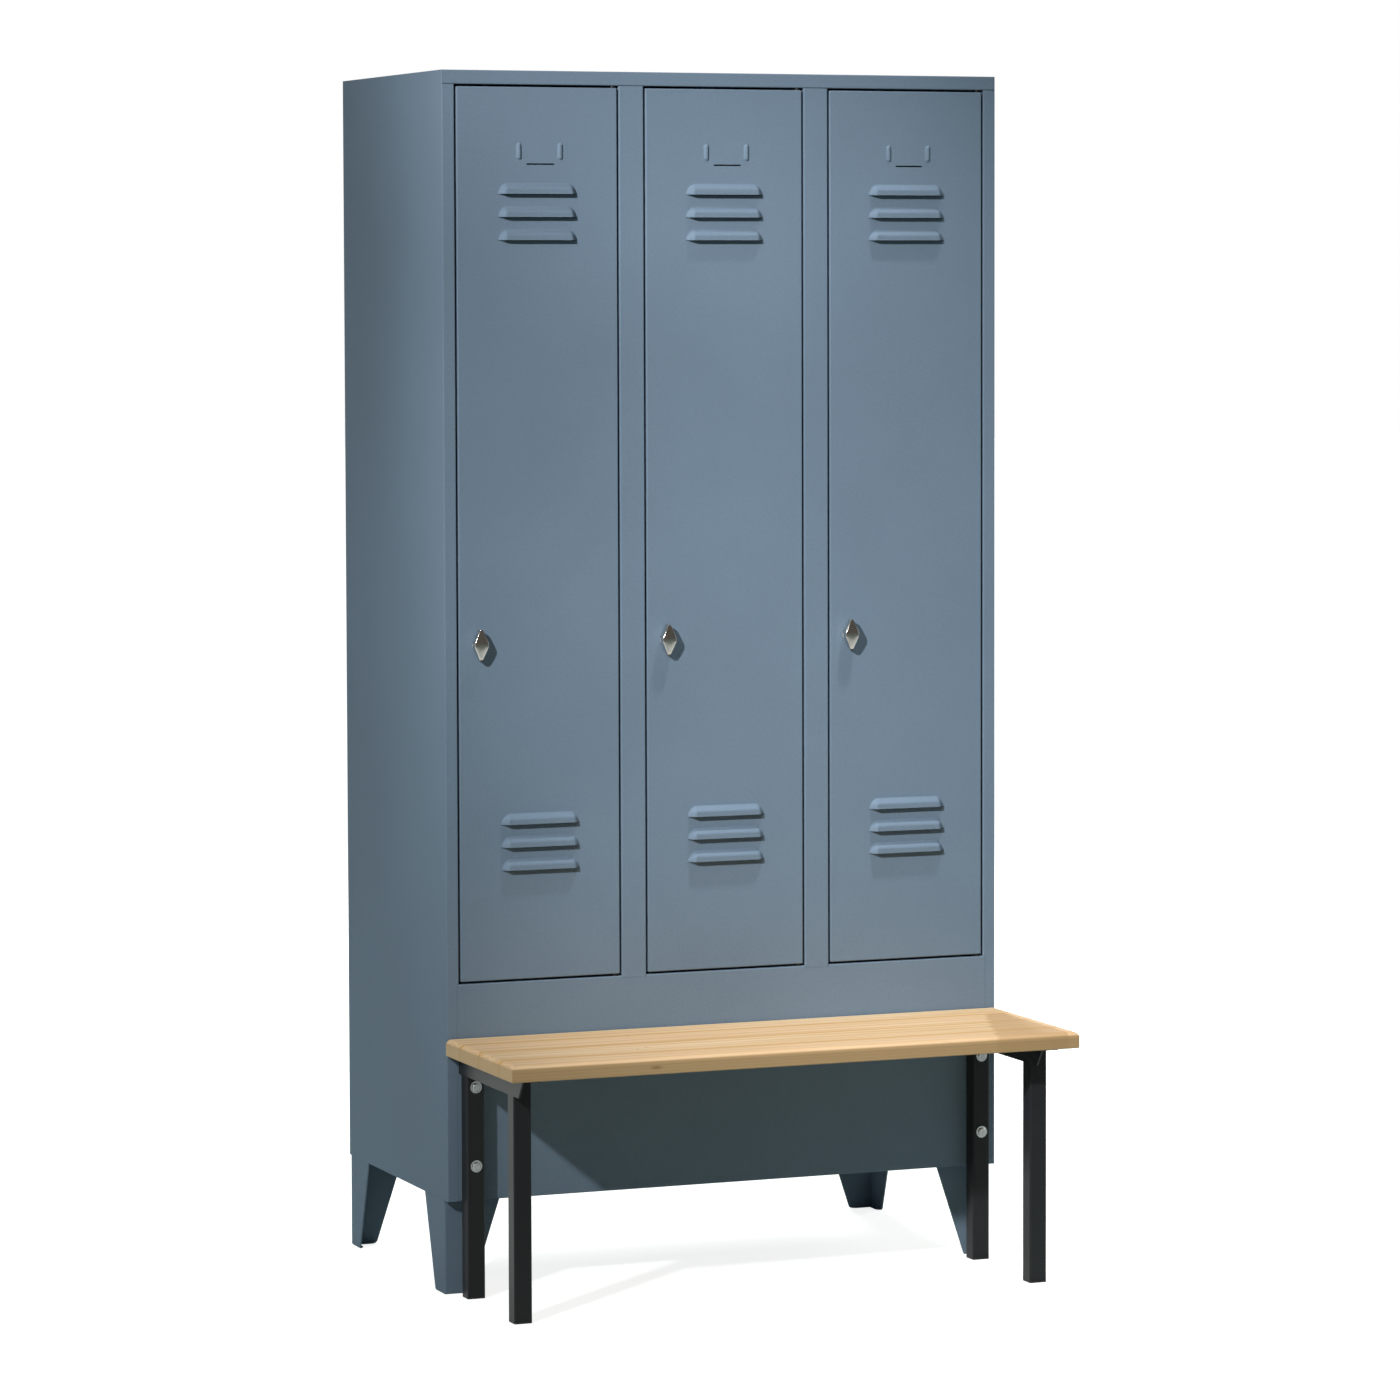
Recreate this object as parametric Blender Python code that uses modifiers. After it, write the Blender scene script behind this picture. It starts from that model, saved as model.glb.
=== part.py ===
"""Steel locker with three doors on folded feet, and a wooden bench fixed to its plinth.

Lengths are metres, +Z is up and the doors face -Y. The origin lies on the floor, under the
middle of the whole object. Positions inside the locker are measured from its left side,
from its front and from the floor.
"""

import math

import bmesh
import bpy
from mathutils import Matrix, Vector

# Whole object
BODY_WIDTH = 0.910
BODY_DEPTH = 0.480
TOTAL_HEIGHT = 1.850
FOOT_HEIGHT = 0.145
PLINTH_TOP = 0.4747
BENCH_REACH = 0.300
COMPARTMENTS = 3

# Sheet work
SHEET = 0.001
INSIDE_BEND = 0.0006
FIT = 0.0003
RUNNING_FIT = 0.0001
OVERRUN = 0.002
TOP_FLANGE = 0.021
REAR_FLANGE = 0.020
MIDDLE_STILE = 0.0396
STILE_RETURN = 0.020
PLINTH_FOOT_RETURN = 0.015
SEAM_DROP = 0.003
PARTITION_FRONT_FLANGE = 0.010
PARTITION_REAR_FLANGE = 0.015
FLOOR_FLANGE = 0.020

# Hat shelves and coat rails
SHELF_DROP = 0.300
SHELF_SET_BACK = 0.035
SHELF_FLANGE = 0.015
COAT_RAIL_DROP = 0.055
COAT_RAIL_RADIUS = 0.006
COAT_RAIL_FLANGE_RADIUS = 0.012
COAT_RAIL_FLANGE = 0.003

# Doors
DOOR_GAP = 0.0035
DOOR_DEPTH = 0.018
DOOR_RETURN = 0.012

# Louvres, pressed out of the doors
LOUVRE_COUNT = 3
LOUVRE_PITCH = 0.0347
LOUVRE_LENGTH = 0.1268
LOUVRE_HEIGHT = 0.0167
LOUVRE_DEPTH = 0.0092
LOUVRE_END = 0.014
UPPER_LOUVRE_DROP = 0.1604
LOWER_LOUVRE_RISE = 0.1665
PRESSED_WALL = 0.0008
LIP_SLIT = 0.0008

# Card holder, pressed out of the doors
CARD_OFFSET = 0.005
CARD_TAB_SPACING = 0.066
CARD_TAB_DROP = 0.0961
CARD_TAB_LENGTH = 0.0269
CARD_TAB_WIDTH = 0.006
CARD_TAB_DEPTH = 0.0022
CARD_TAB_END = 0.005
CARD_SLOT_DROP = 0.1155
CARD_SLOT_LENGTH = 0.045
CARD_SLOT_WIDTH = 0.0022

# Hidden hinge pins
PIN_INSET = 0.0055
PIN_RADIUS = 0.0025
PIN_COLLAR_RADIUS = 0.004
PIN_HEAD = 0.0012
PIN_ENGAGEMENT = 0.006

# Turn handles with their latches
KNOB_INSET = 0.0303
KNOB_HEIGHT = 0.988
KNOB_REACH = 0.0185
KNOB_THICKNESS = 0.0145
KNOB_HALF_WIDTH = 0.0114
KNOB_HALF_HEIGHT = 0.0233
KNOB_TIP_HALF_WIDTH = 0.0025
KNOB_SIDE_HALF_HEIGHT = 0.0032
KNOB_RIM = 0.0012
KNOB_RIM_RISE = 0.0008
KNOB_CROWN_INSET = 0.005
KNOB_CROWN_RISE = 0.0014
NECK_RADIUS = 0.0085
NECK_FLARE = 0.0015
SPINDLE_RADIUS = 0.004
SPINDLE_TAIL = 0.001
CAM_CLEARANCE = 0.0015
CAM_THICKNESS = 0.002
CAM_HALF_WIDTH = 0.008
CAM_HOLD = 0.010
NUT_THICKNESS = 0.005
NUT_RADIUS = 0.0105

# Feet
FOOT_SHEET = 0.002
FOOT_TOP_WIDTH = 0.090
FOOT_FLOOR_WIDTH = 0.042
FOOT_FLANGE = 0.012
FOOT_TUCK = 0.040
FOOT_SET_BACK = 0.021

# Bench
SEAT_TOP = 0.393
SEAT_THICKNESS = 0.025
SEAT_OVERHANG = 0.003
SEAT_REAR_GAP = 0.003
SEAT_ROUNDING = 0.009
SEAT_ARRIS = 0.0015
LEG = 0.028
LEG_WALL = 0.002
LEG_CORNER = 0.0025
LEG_INSET = 0.022
LEG_SPACING = 0.208
CAP_BASE = 0.0025
CAP_PLUG = 0.015
CAP_PLAY = 0.0006
RAIL_FLANGE = 0.028
RAIL_DEPTH = 0.028
RAIL_SHEET = 0.003
RAIL_NOSE = 0.049
RAIL_SLANT = 0.020
BOLT_UPPER_HEIGHT = 0.322
BOLT_LOWER_HEIGHT = 0.202
BOLT_RADIUS = 0.003
BOLT_TAIL = 0.012
WASHER_RADIUS = 0.00925
WASHER_THICKNESS = 0.0012
BOLT_HEAD_RADIUS = 0.0062
BOLT_HEAD_HEIGHT = 0.0028
BOLT_HEAD_EDGE = 0.0008
SCREW_RADIUS = 0.002
SCREW_LENGTH = 0.015
SCREW_HEAD_RADIUS = 0.0045
SCREW_HEAD_HEIGHT = 0.0025
SCREW_FROM_LEG = 0.030

# Places that follow from the sizes
TINY = 1e-6
BEND = SHEET + INSIDE_BEND
NOTCH_EDGE = SHEET + RUNNING_FIT
FRONT_Y = BENCH_REACH - (BENCH_REACH + BODY_DEPTH) / 2
PITCH = BODY_WIDTH / COMPARTMENTS
SIDE_STILE = MIDDLE_STILE / 2
OPENING = PITCH - MIDDLE_STILE
FLANGE_BOTTOM = TOTAL_HEIGHT - TOP_FLANGE
BACK_INNER = BODY_DEPTH - SHEET - FIT - SHEET
DOOR_WIDTH = OPENING - 2 * DOOR_GAP
DOOR_BOTTOM = PLINTH_TOP + DOOR_GAP
DOOR_HEIGHT = FLANGE_BOTTOM - DOOR_GAP - DOOR_BOTTOM
SHELF_TOP = TOTAL_HEIGHT - SHELF_DROP
CAM_FRONT = STILE_RETURN + CAM_CLEARANCE
RAIL_TOP = SEAT_TOP - SEAT_THICKNESS - FIT
RAIL_UNDERSIDE = RAIL_TOP - RAIL_SHEET
REAR_LEG_Y = FRONT_Y - FIT - LEG / 2
FRONT_LEG_Y = REAR_LEG_Y - LEG_SPACING
TURN_STEPS = 16
LOUVRE_STEPS = (16, 7)
SMALL_HOOD_STEPS = (12, 5)

# Colour, roughness and metallic value of each finish
FINISHES = {
    "grey_paint": ((0.165, 0.230, 0.300), 0.45, 0.0),
    "black_paint": ((0.018, 0.019, 0.021), 0.45, 0.0),
    "pine": ((0.560, 0.370, 0.180), 0.50, 0.0),
    "black_plastic": ((0.012, 0.012, 0.013), 0.50, 0.0),
    "zinc": ((0.560, 0.560, 0.540), 0.35, 1.0),
    "oiled_steel": ((0.060, 0.058, 0.055), 0.45, 1.0),
    "chrome": ((0.720, 0.720, 0.700), 0.12, 1.0),
}


def start_scene():
    """Empties the scene and makes the collections for the parts and for the cutters."""
    for item in list(bpy.data.objects):
        bpy.data.objects.remove(item, do_unlink=True)
    made = []
    for name in ("locker_with_bench", "cutters"):
        collection = bpy.data.collections.new(name)
        bpy.context.scene.collection.children.link(collection)
        made.append(collection)
    return made


PARTS, CUTTERS = start_scene()


def material_of(name, finish):
    """A Principled material of its own for one piece."""
    colour, roughness, metallic = FINISHES[finish]
    material = bpy.data.materials.new(name)
    material.use_nodes = True
    shader = material.node_tree.nodes["Principled BSDF"]
    shader.inputs["Base Color"].default_value = (*colour, 1.0)
    shader.inputs["Roughness"].default_value = roughness
    shader.inputs["Metallic"].default_value = metallic
    return material


def mesh_from(name, bm):
    """Turns a bmesh into mesh data and frees it."""
    mesh = bpy.data.meshes.new(name)
    bm.to_mesh(mesh)
    bm.free()
    return mesh


def add_part(name, mesh, finish, place=(0, 0, 0), parent=None, turn=(0, 0, 0)):
    """Puts a mesh in the scene as a named piece with its own material."""
    mesh.materials.clear()
    mesh.materials.append(material_of(name, finish))
    part = bpy.data.objects.new(name, mesh)
    part.location = place
    part.rotation_euler = turn
    part.parent = parent
    PARTS.objects.link(part)
    return part


def add_cutter(name, mesh, place=(0, 0, 0), parent=None, turn=(0, 0, 0)):
    """Puts a mesh in the scene as a shape that only cuts or joins."""
    cutter = bpy.data.objects.new(name, mesh)
    cutter.location = place
    cutter.rotation_euler = turn
    cutter.parent = parent
    cutter.hide_render = True
    cutter.display_type = "WIRE"
    CUTTERS.objects.link(cutter)
    return cutter


def add_empty(name, place, parent=None, turn=(0, 0, 0)):
    """Marks a joint's axis, which the moving pieces hang from."""
    empty = bpy.data.objects.new(name, None)
    empty.location = place
    empty.rotation_euler = turn
    empty.parent = parent
    PARTS.objects.link(empty)
    return empty


def combine(part, operation, other):
    """Cuts another mesh out of a piece, or joins it on."""
    modifier = part.modifiers.new(f"{operation.lower()} {other.name}", "BOOLEAN")
    modifier.operation = operation
    modifier.solver = "EXACT"
    modifier.object = other


def round_bends(part, radius, segments=2, angle=math.radians(40)):
    """Rounds the edges that turn more sharply than an angle."""
    bevel = part.modifiers.new("bends", "BEVEL")
    bevel.limit_method = "ANGLE"
    bevel.angle_limit = angle
    bevel.width = radius
    bevel.segments = segments


def thicken(part, sheet):
    """Gives an open surface its sheet thickness, inwards from its outer face."""
    solidify = part.modifiers.new("sheet", "SOLIDIFY")
    solidify.thickness = sheet
    solidify.offset = -1
    solidify.use_even_offset = True


def shade_round(part, angle=math.radians(35)):
    """Shades a round piece smooth and keeps its edges sharp."""
    part.data.shade_smooth()
    part.data.set_sharp_from_angle(angle=angle)


def across(side, distance):
    """The X that lies a distance inside the locker's left (-1) or right (1) side."""
    return side * (BODY_WIDTH / 2 - distance)


def box(bm, corner, opposite):
    """Adds a box primitive between two opposite corners."""
    corner, opposite = Vector(corner), Vector(opposite)
    size = Matrix.Diagonal((*(abs(edge) for edge in opposite - corner), 1.0))
    middle = Matrix.Translation((corner + opposite) / 2)
    return bmesh.ops.create_cube(bm, size=1.0, matrix=middle @ size)["verts"]


def rod(bm, start, end, radius, segments=TURN_STEPS):
    """Adds a cylinder primitive between two points."""
    start, end = Vector(start), Vector(end)
    turn = (end - start).to_track_quat("Z", "Y").to_matrix().to_4x4()
    middle = Matrix.Translation((start + end) / 2)
    bmesh.ops.create_cone(
        bm, cap_ends=True, segments=segments, radius1=radius, radius2=radius,
        depth=(end - start).length, matrix=middle @ turn,
    )


def outermost(faces, axis, pick=max):
    """The face whose centre lies furthest along an axis, or furthest back with min."""
    return pick(faces, key=lambda face: face.calc_center_median()[axis])


def round_uprights(bm, radius, segments):
    """Rounds the vertical edges of a box."""
    uprights = [e for e in bm.edges if abs(e.verts[0].co.z - e.verts[1].co.z) > TINY]
    bmesh.ops.bevel(
        bm, geom=uprights, offset=radius, segments=segments, profile=0.5, affect="EDGES",
    )


def folded_surface(path, along, start, end):
    """Draws a section path along an axis. The outer face is on the path's right.

    The path lies in the plane of the two axes that follow the drawing axis in the order
    X, Y, Z, X, Y.
    """
    order = "XYZXY"
    first = order.index(along)
    forward, sideways, upward = (Vector.Fill(3, 0) for _ in range(3))
    for axis, letter in zip((forward, sideways, upward), order[first:first + 3]):
        axis["XYZ".index(letter)] = 1
    bm = bmesh.new()
    corners = [bm.verts.new(sideways * u + upward * v + forward * start) for u, v in path]
    edges = [bm.edges.new(pair) for pair in zip(corners, corners[1:])]
    drawn = bmesh.ops.extrude_edge_only(bm, edges=edges)["geom"]
    far = [item for item in drawn if isinstance(item, bmesh.types.BMVert)]
    bmesh.ops.translate(bm, verts=far, vec=forward * (end - start))
    bmesh.ops.recalc_face_normals(bm, faces=bm.faces)
    outward = (corners[1].co - corners[0].co).cross(forward)
    if edges[0].link_faces[0].normal.dot(outward) < 0:
        bmesh.ops.reverse_faces(bm, faces=bm.faces)
    return bm


def folded_part(name, bm, finish="grey_paint", sheet=SHEET, **placing):
    """A piece of folded sheet from its outer surface."""
    part = add_part(name, mesh_from(name, bm), finish, **placing)
    round_bends(part, sheet + INSIDE_BEND)
    thicken(part, sheet)
    return part


def turned_part(name, profile, finish, steps=TURN_STEPS, **placing):
    """A turned piece from a profile of radius and height, top to bottom."""
    bm = bmesh.new()
    points = [bm.verts.new((radius, 0, height)) for radius, height in profile]
    for pair in zip(points, points[1:]):
        bm.edges.new(pair)
    part = add_part(name, mesh_from(name, bm), finish, **placing)
    screw = part.modifiers.new("turning", "SCREW")
    screw.angle = math.tau
    screw.steps = steps
    screw.render_steps = steps
    screw.use_merge_vertices = True
    screw.merge_threshold = 0.00005
    screw.use_smooth_shade = True
    return part


def flat_mesh(name, outlines, thickness):
    """A flat plate from closed outlines, the later ones being its holes."""
    curve = bpy.data.curves.new(name, "CURVE")
    curve.dimensions = "2D"
    curve.fill_mode = "BOTH"
    curve.extrude = thickness / 2
    for outline in outlines:
        spline = curve.splines.new("POLY")
        spline.points.add(len(outline) - 1)
        for point, (x, y) in zip(spline.points, outline):
            point.co = (x, y, 0, 1)
        spline.use_cyclic_u = True
    guide = bpy.data.objects.new(name, curve)
    bpy.context.scene.collection.objects.link(guide)
    bpy.context.view_layer.update()
    graph = bpy.context.evaluated_depsgraph_get()
    mesh = bpy.data.meshes.new_from_object(guide.evaluated_get(graph))
    bpy.data.objects.remove(guide, do_unlink=True)
    bpy.data.curves.remove(curve)
    bm = bmesh.new()
    bm.from_mesh(mesh)
    bmesh.ops.remove_doubles(bm, verts=bm.verts, dist=TINY)
    bm.to_mesh(mesh)
    bm.free()
    return mesh


def arc(radius, start, end, steps, centre=(0, 0)):
    """Points along an arc, from one angle in degrees to another."""
    angles = [math.radians(start + (end - start) * step / steps) for step in range(steps + 1)]
    return [(centre[0] + radius * math.cos(a), centre[1] + radius * math.sin(a)) for a in angles]


# Folded casing

def side_panel(name, side):
    """A side with its stile, the stile's return and the rear flange in one sheet."""
    path = [
        (across(side, REAR_FLANGE), BODY_DEPTH),
        (across(side, 0), BODY_DEPTH),
        (across(side, 0), 0),
        (across(side, SIDE_STILE), 0),
        (across(side, SIDE_STILE), STILE_RETURN),
    ]
    bm = folded_surface(path[::-side], "Z", FOOT_HEIGHT, TOTAL_HEIGHT)
    panel = folded_part(name, bm, place=(0, FRONT_Y, 0))
    notches = bmesh.new()
    inner = across(side, SIDE_STILE + OVERRUN)
    behind = STILE_RETURN + OVERRUN
    box(
        notches,
        (across(side, NOTCH_EDGE), -OVERRUN, FLANGE_BOTTOM - FIT),
        (inner, behind, TOTAL_HEIGHT + OVERRUN),
    )
    box(
        notches,
        (across(side, SIDE_STILE - SEAM_DROP), -OVERRUN, FOOT_HEIGHT - OVERRUN),
        (inner, behind, PLINTH_TOP + FIT),
    )
    cutter = add_cutter(f"{name}_notches", mesh_from(name, notches), (0, FRONT_Y, 0))
    combine(panel, "DIFFERENCE", cutter)


def top_panel():
    """The top sheet with the front flange over the doors and its return."""
    path = [
        (BACK_INNER - FIT, TOTAL_HEIGHT - REAR_FLANGE),
        (BACK_INNER - FIT, TOTAL_HEIGHT),
        (0, TOTAL_HEIGHT),
        (0, FLANGE_BOTTOM),
        (STILE_RETURN, FLANGE_BOTTOM),
    ]
    end = NOTCH_EDGE + FIT
    bm = folded_surface(path, "X", across(-1, end), across(1, end))
    panel = folded_part("top_panel", bm, place=(0, FRONT_Y, 0))
    holes = bmesh.new()
    for number in range(COMPARTMENTS):
        place = Vector((hinge_x(number), PIN_INSET, FLANGE_BOTTOM))
        reach = Vector((0, 0, SHEET + OVERRUN))
        rod(holes, place - reach, place + reach, PIN_RADIUS + FIT)
    cutter = add_cutter("top_panel_holes", mesh_from("top_panel_holes", holes), (0, FRONT_Y, 0))
    combine(panel, "DIFFERENCE", cutter)


def plinth_panel():
    """The panel below the doors, notched in front where the middle stiles run on.

    Its top return closes the stiles' lower ends, and a tab at each end the side stile's.
    """
    path = [
        (STILE_RETURN, PLINTH_TOP),
        (0, PLINTH_TOP),
        (0, FOOT_HEIGHT),
        (PLINTH_FOOT_RETURN, FOOT_HEIGHT),
    ]
    end = SIDE_STILE - SEAM_DROP + FIT
    bm = folded_surface(path, "X", across(-1, end), across(1, end))
    panel = folded_part("plinth_panel", bm, place=(0, FRONT_Y, 0))
    tabs = bmesh.new()
    for side in (-1, 1):
        box(
            tabs,
            (across(side, BEND), BEND, PLINTH_TOP - SHEET),
            (across(side, end + OVERRUN), STILE_RETURN, PLINTH_TOP),
        )
    joined = add_cutter("plinth_panel_tabs", mesh_from("plinth_panel_tabs", tabs), (0, FRONT_Y, 0))
    combine(panel, "UNION", joined)
    cuts = bmesh.new()
    for number in range(1, COMPARTMENTS):
        middle = across(-1, number * PITCH)
        half = MIDDLE_STILE / 2 + FIT
        box(
            cuts,
            (middle - half, -OVERRUN, PLINTH_TOP - SEAM_DROP - FIT),
            (middle + half, BEND, PLINTH_TOP + OVERRUN),
        )
    for number in range(COMPARTMENTS):
        place = Vector((hinge_x(number), PIN_INSET, PLINTH_TOP))
        reach = Vector((0, 0, SHEET + OVERRUN))
        rod(cuts, place - reach, place + reach, PIN_RADIUS + FIT)
    for side in (-1, 1):
        for height in (BOLT_UPPER_HEIGHT, BOLT_LOWER_HEIGHT):
            place = Vector((leg_x(side), 0, height))
            reach = Vector((0, SHEET + OVERRUN, 0))
            rod(cuts, place - reach, place + reach, BOLT_RADIUS + FIT)
    cutter = add_cutter("plinth_panel_cuts", mesh_from("plinth_panel_cuts", cuts), (0, FRONT_Y, 0))
    combine(panel, "DIFFERENCE", cutter)


def middle_stile(name, number):
    """A channel between two doors, open to the rear, whose front runs on into the plinth."""
    half = MIDDLE_STILE / 2
    path = [(-half, STILE_RETURN), (-half, 0), (half, 0), (half, STILE_RETURN)]
    bottom = PLINTH_TOP - SEAM_DROP
    bm = folded_surface(path, "Z", bottom, FLANGE_BOTTOM - FIT)
    place = (across(-1, number * PITCH), FRONT_Y, 0)
    stile = folded_part(name, bm, place=place)
    bm = bmesh.new()
    box(
        bm,
        (-half - OVERRUN, BEND - FIT, bottom - OVERRUN),
        (half + OVERRUN, STILE_RETURN + OVERRUN, PLINTH_TOP + FIT),
    )
    combine(stile, "DIFFERENCE", add_cutter(f"{name}_foot", mesh_from(name, bm), place))


def back_panel():
    """The flat rear sheet, held in front of the sides' rear flanges."""
    bm = bmesh.new()
    edge = SHEET + FIT
    box(
        bm,
        (across(-1, edge), BACK_INNER, FOOT_HEIGHT),
        (across(1, edge), BACK_INNER + SHEET, TOTAL_HEIGHT),
    )
    add_part("back_panel", mesh_from("back_panel", bm), "grey_paint", (0, FRONT_Y, 0))


def floor_panel():
    """The compartments' floor, a tray turned upside down behind the plinth's return."""
    bm = bmesh.new()
    edge = SHEET + FIT
    box(
        bm,
        (across(-1, edge), STILE_RETURN + FIT, PLINTH_TOP - FLOOR_FLANGE),
        (across(1, edge), BACK_INNER - FIT, PLINTH_TOP),
    )
    bmesh.ops.delete(bm, geom=[outermost(bm.faces, 2, min)], context="FACES")
    folded_part("floor_panel", bm, place=(0, FRONT_Y, 0))


def partition(name, number):
    """A wall between two compartments, flanged against the stile and the back."""
    front = SHEET + FIT
    rear = BACK_INNER - FIT
    path = [
        (PARTITION_REAR_FLANGE, rear),
        (0, rear),
        (0, front),
        (PARTITION_FRONT_FLANGE, front),
    ]
    bm = folded_surface(path, "Z", PLINTH_TOP + FIT, TOTAL_HEIGHT - SHEET - FIT)
    place = (across(-1, number * PITCH) - SHEET / 2, FRONT_Y, 0)
    wall = folded_part(name, bm, place=place)
    notches = bmesh.new()
    reach = PARTITION_REAR_FLANGE + OVERRUN
    top = TOTAL_HEIGHT + OVERRUN
    box(
        notches,
        (-OVERRUN, -OVERRUN, FLANGE_BOTTOM - FIT),
        (reach, STILE_RETURN + FIT, top),
    )
    box(
        notches,
        (-OVERRUN, rear - SHEET - FIT, TOTAL_HEIGHT - REAR_FLANGE - FIT),
        (reach, rear + OVERRUN, top),
    )
    combine(wall, "DIFFERENCE", add_cutter(f"{name}_notches", mesh_from(name, notches), place))


def compartment(number):
    """The X of a compartment's two inner faces, with number 0 at the left."""
    left = across(-1, number * PITCH) + (SHEET if number == 0 else SHEET / 2)
    last = number == COMPARTMENTS - 1
    right = across(-1, (number + 1) * PITCH) - (SHEET if last else SHEET / 2)
    return left, right


def hat_shelf(name, number):
    """A shelf with its edges folded down."""
    left, right = compartment(number)
    bm = bmesh.new()
    box(
        bm,
        (left + FIT, SHELF_SET_BACK, SHELF_TOP - SHELF_FLANGE),
        (right - FIT, BACK_INNER - FIT - SHEET - FIT, SHELF_TOP),
    )
    bmesh.ops.delete(bm, geom=[outermost(bm.faces, 2, min)], context="FACES")
    folded_part(name, bm, place=(0, FRONT_Y, 0))


def coat_rail(name, number):
    """A round rail with a flange at each end, under the shelf."""
    left, right = compartment(number)
    end = (right - left) / 2 - FIT
    neck = end - COAT_RAIL_FLANGE
    profile = [
        (0, end),
        (COAT_RAIL_FLANGE_RADIUS, end),
        (COAT_RAIL_FLANGE_RADIUS, neck),
        (COAT_RAIL_RADIUS, neck),
        (COAT_RAIL_RADIUS, -neck),
        (COAT_RAIL_FLANGE_RADIUS, -neck),
        (COAT_RAIL_FLANGE_RADIUS, -end),
        (0, -end),
    ]
    place = ((left + right) / 2, FRONT_Y + BODY_DEPTH / 2, SHELF_TOP - COAT_RAIL_DROP)
    turned_part(name, profile, "zinc", place=place, turn=(0, math.pi / 2, 0))


# Doors

def door_left(number):
    """The X of a door's left edge, with number 0 at the left."""
    return across(-1, number * PITCH + SIDE_STILE + DOOR_GAP)


def hinge_x(number):
    """The X of a door's hinge axis, just inside its right edge."""
    return door_left(number) + DOOR_WIDTH - PIN_INSET


def leg_x(side):
    """The X of the middle of a bench frame's legs."""
    return across(side, LEG_INSET + LEG / 2)


def hood(length, height, depth, end, slit, back, steps):
    """A pressed hood: a stretched quarter ball over the sheet, its lip on z = 0.

    It stands out towards -Y. Behind the sheet's front face its outline runs straight on
    for the back distance, and below the lip it runs on for the slit.
    """
    bm = bmesh.new()
    around, rings = steps
    bmesh.ops.create_uvsphere(bm, u_segments=around, v_segments=rings, radius=1.0)
    bmesh.ops.rotate(bm, verts=bm.verts, matrix=Matrix.Rotation(math.pi / 2, 3, "Y"))
    girth = math.cos(math.pi / 2 / rings)
    bmesh.ops.scale(bm, verts=bm.verts, vec=(end, depth / girth, height / girth))
    for point in bm.verts:
        point.co.x += math.copysign(length / 2 - end, point.co.x)
    rim = cut_off(bm, (0, 0, 0), (0, 1, 0))
    drawn = bmesh.ops.extrude_edge_only(bm, edges=rim)["geom"]
    far = [item for item in drawn if isinstance(item, bmesh.types.BMVert)]
    bmesh.ops.translate(bm, verts=far, vec=(0, back, 0))
    close(bm)
    cut_off(bm, (0, 0, -slit), (0, 0, -1))
    close(bm)
    bmesh.ops.recalc_face_normals(bm, faces=bm.faces)
    return mesh_from("hood", bm)


def open_edges(bm):
    """The edges with a face on one side only."""
    return [edge for edge in bm.edges if edge.is_boundary]


def cut_off(bm, point, normal):
    """Removes what lies beyond a plane and gives the open edges it leaves."""
    bmesh.ops.bisect_plane(
        bm, geom=[*bm.verts, *bm.edges, *bm.faces], dist=TINY, plane_co=point,
        plane_no=normal, clear_outer=True,
    )
    return open_edges(bm)


def close(bm):
    """Closes a flat opening with one face."""
    bmesh.ops.edgeloop_fill(bm, edges=open_edges(bm))


def pressed_shapes(shell):
    """The hoods of one door's louvres and card tabs, as solids or, less the shell, as voids.

    The voids also have the card holder's plain slot.
    """
    back = SHEET / 2 if shell == 0 else SHEET + OVERRUN
    louvre = hood(
        LOUVRE_LENGTH - 2 * shell, LOUVRE_HEIGHT - shell, LOUVRE_DEPTH - shell,
        LOUVRE_END - shell, LIP_SLIT if shell else 0, back, LOUVRE_STEPS,
    )
    tab = hood(
        CARD_TAB_LENGTH - 2 * shell, CARD_TAB_WIDTH - shell, CARD_TAB_DEPTH - shell,
        CARD_TAB_END - shell, LIP_SLIT if shell else 0, back, SMALL_HOOD_STEPS,
    )
    middle = PIN_INSET - DOOR_WIDTH / 2
    shapes = []
    for row in range(LOUVRE_COUNT):
        upper = DOOR_HEIGHT - UPPER_LOUVRE_DROP - row * LOUVRE_PITCH
        lower = LOWER_LOUVRE_RISE + row * LOUVRE_PITCH
        shapes += [(louvre, middle, height, 0) for height in (upper, lower)]
    card = middle + CARD_OFFSET
    for side in (-1, 1):
        edge = card + side * CARD_TAB_SPACING / 2
        shapes.append((tab, edge, DOOR_HEIGHT - CARD_TAB_DROP, -math.pi / 2))
    bm = bmesh.new()
    if shell:
        half, height = CARD_SLOT_LENGTH / 2, DOOR_HEIGHT - CARD_SLOT_DROP
        front, edge = -PIN_INSET - OVERRUN, CARD_SLOT_WIDTH / 2
        box(
            bm,
            (card - half, front, height - edge),
            (card + half, back - PIN_INSET, height + edge),
        )
    for mesh, x, z, turn in shapes:
        known = len(bm.verts)
        bm.from_mesh(mesh)
        bm.verts.ensure_lookup_table()
        place = Matrix.Translation((x, -PIN_INSET, z)) @ Matrix.Rotation(turn, 4, "Y")
        bmesh.ops.transform(bm, matrix=place, verts=bm.verts[known:])
    return bm


def add_door_holes(bm):
    """The holes for the two hinge pins and for the spindle."""
    reach = SHEET + OVERRUN
    for height in (0, DOOR_HEIGHT):
        place, bore = Vector((0, 0, height)), PIN_RADIUS + RUNNING_FIT
        rod(bm, place - Vector((0, 0, reach)), place + Vector((0, 0, reach)), bore)
    x, height = PIN_INSET - DOOR_WIDTH + KNOB_INSET, KNOB_HEIGHT - DOOR_BOTTOM
    front, bore = -PIN_INSET, SPINDLE_RADIUS + RUNNING_FIT
    rod(bm, (x, front - OVERRUN, height), (x, front + reach, height), bore)


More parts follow.
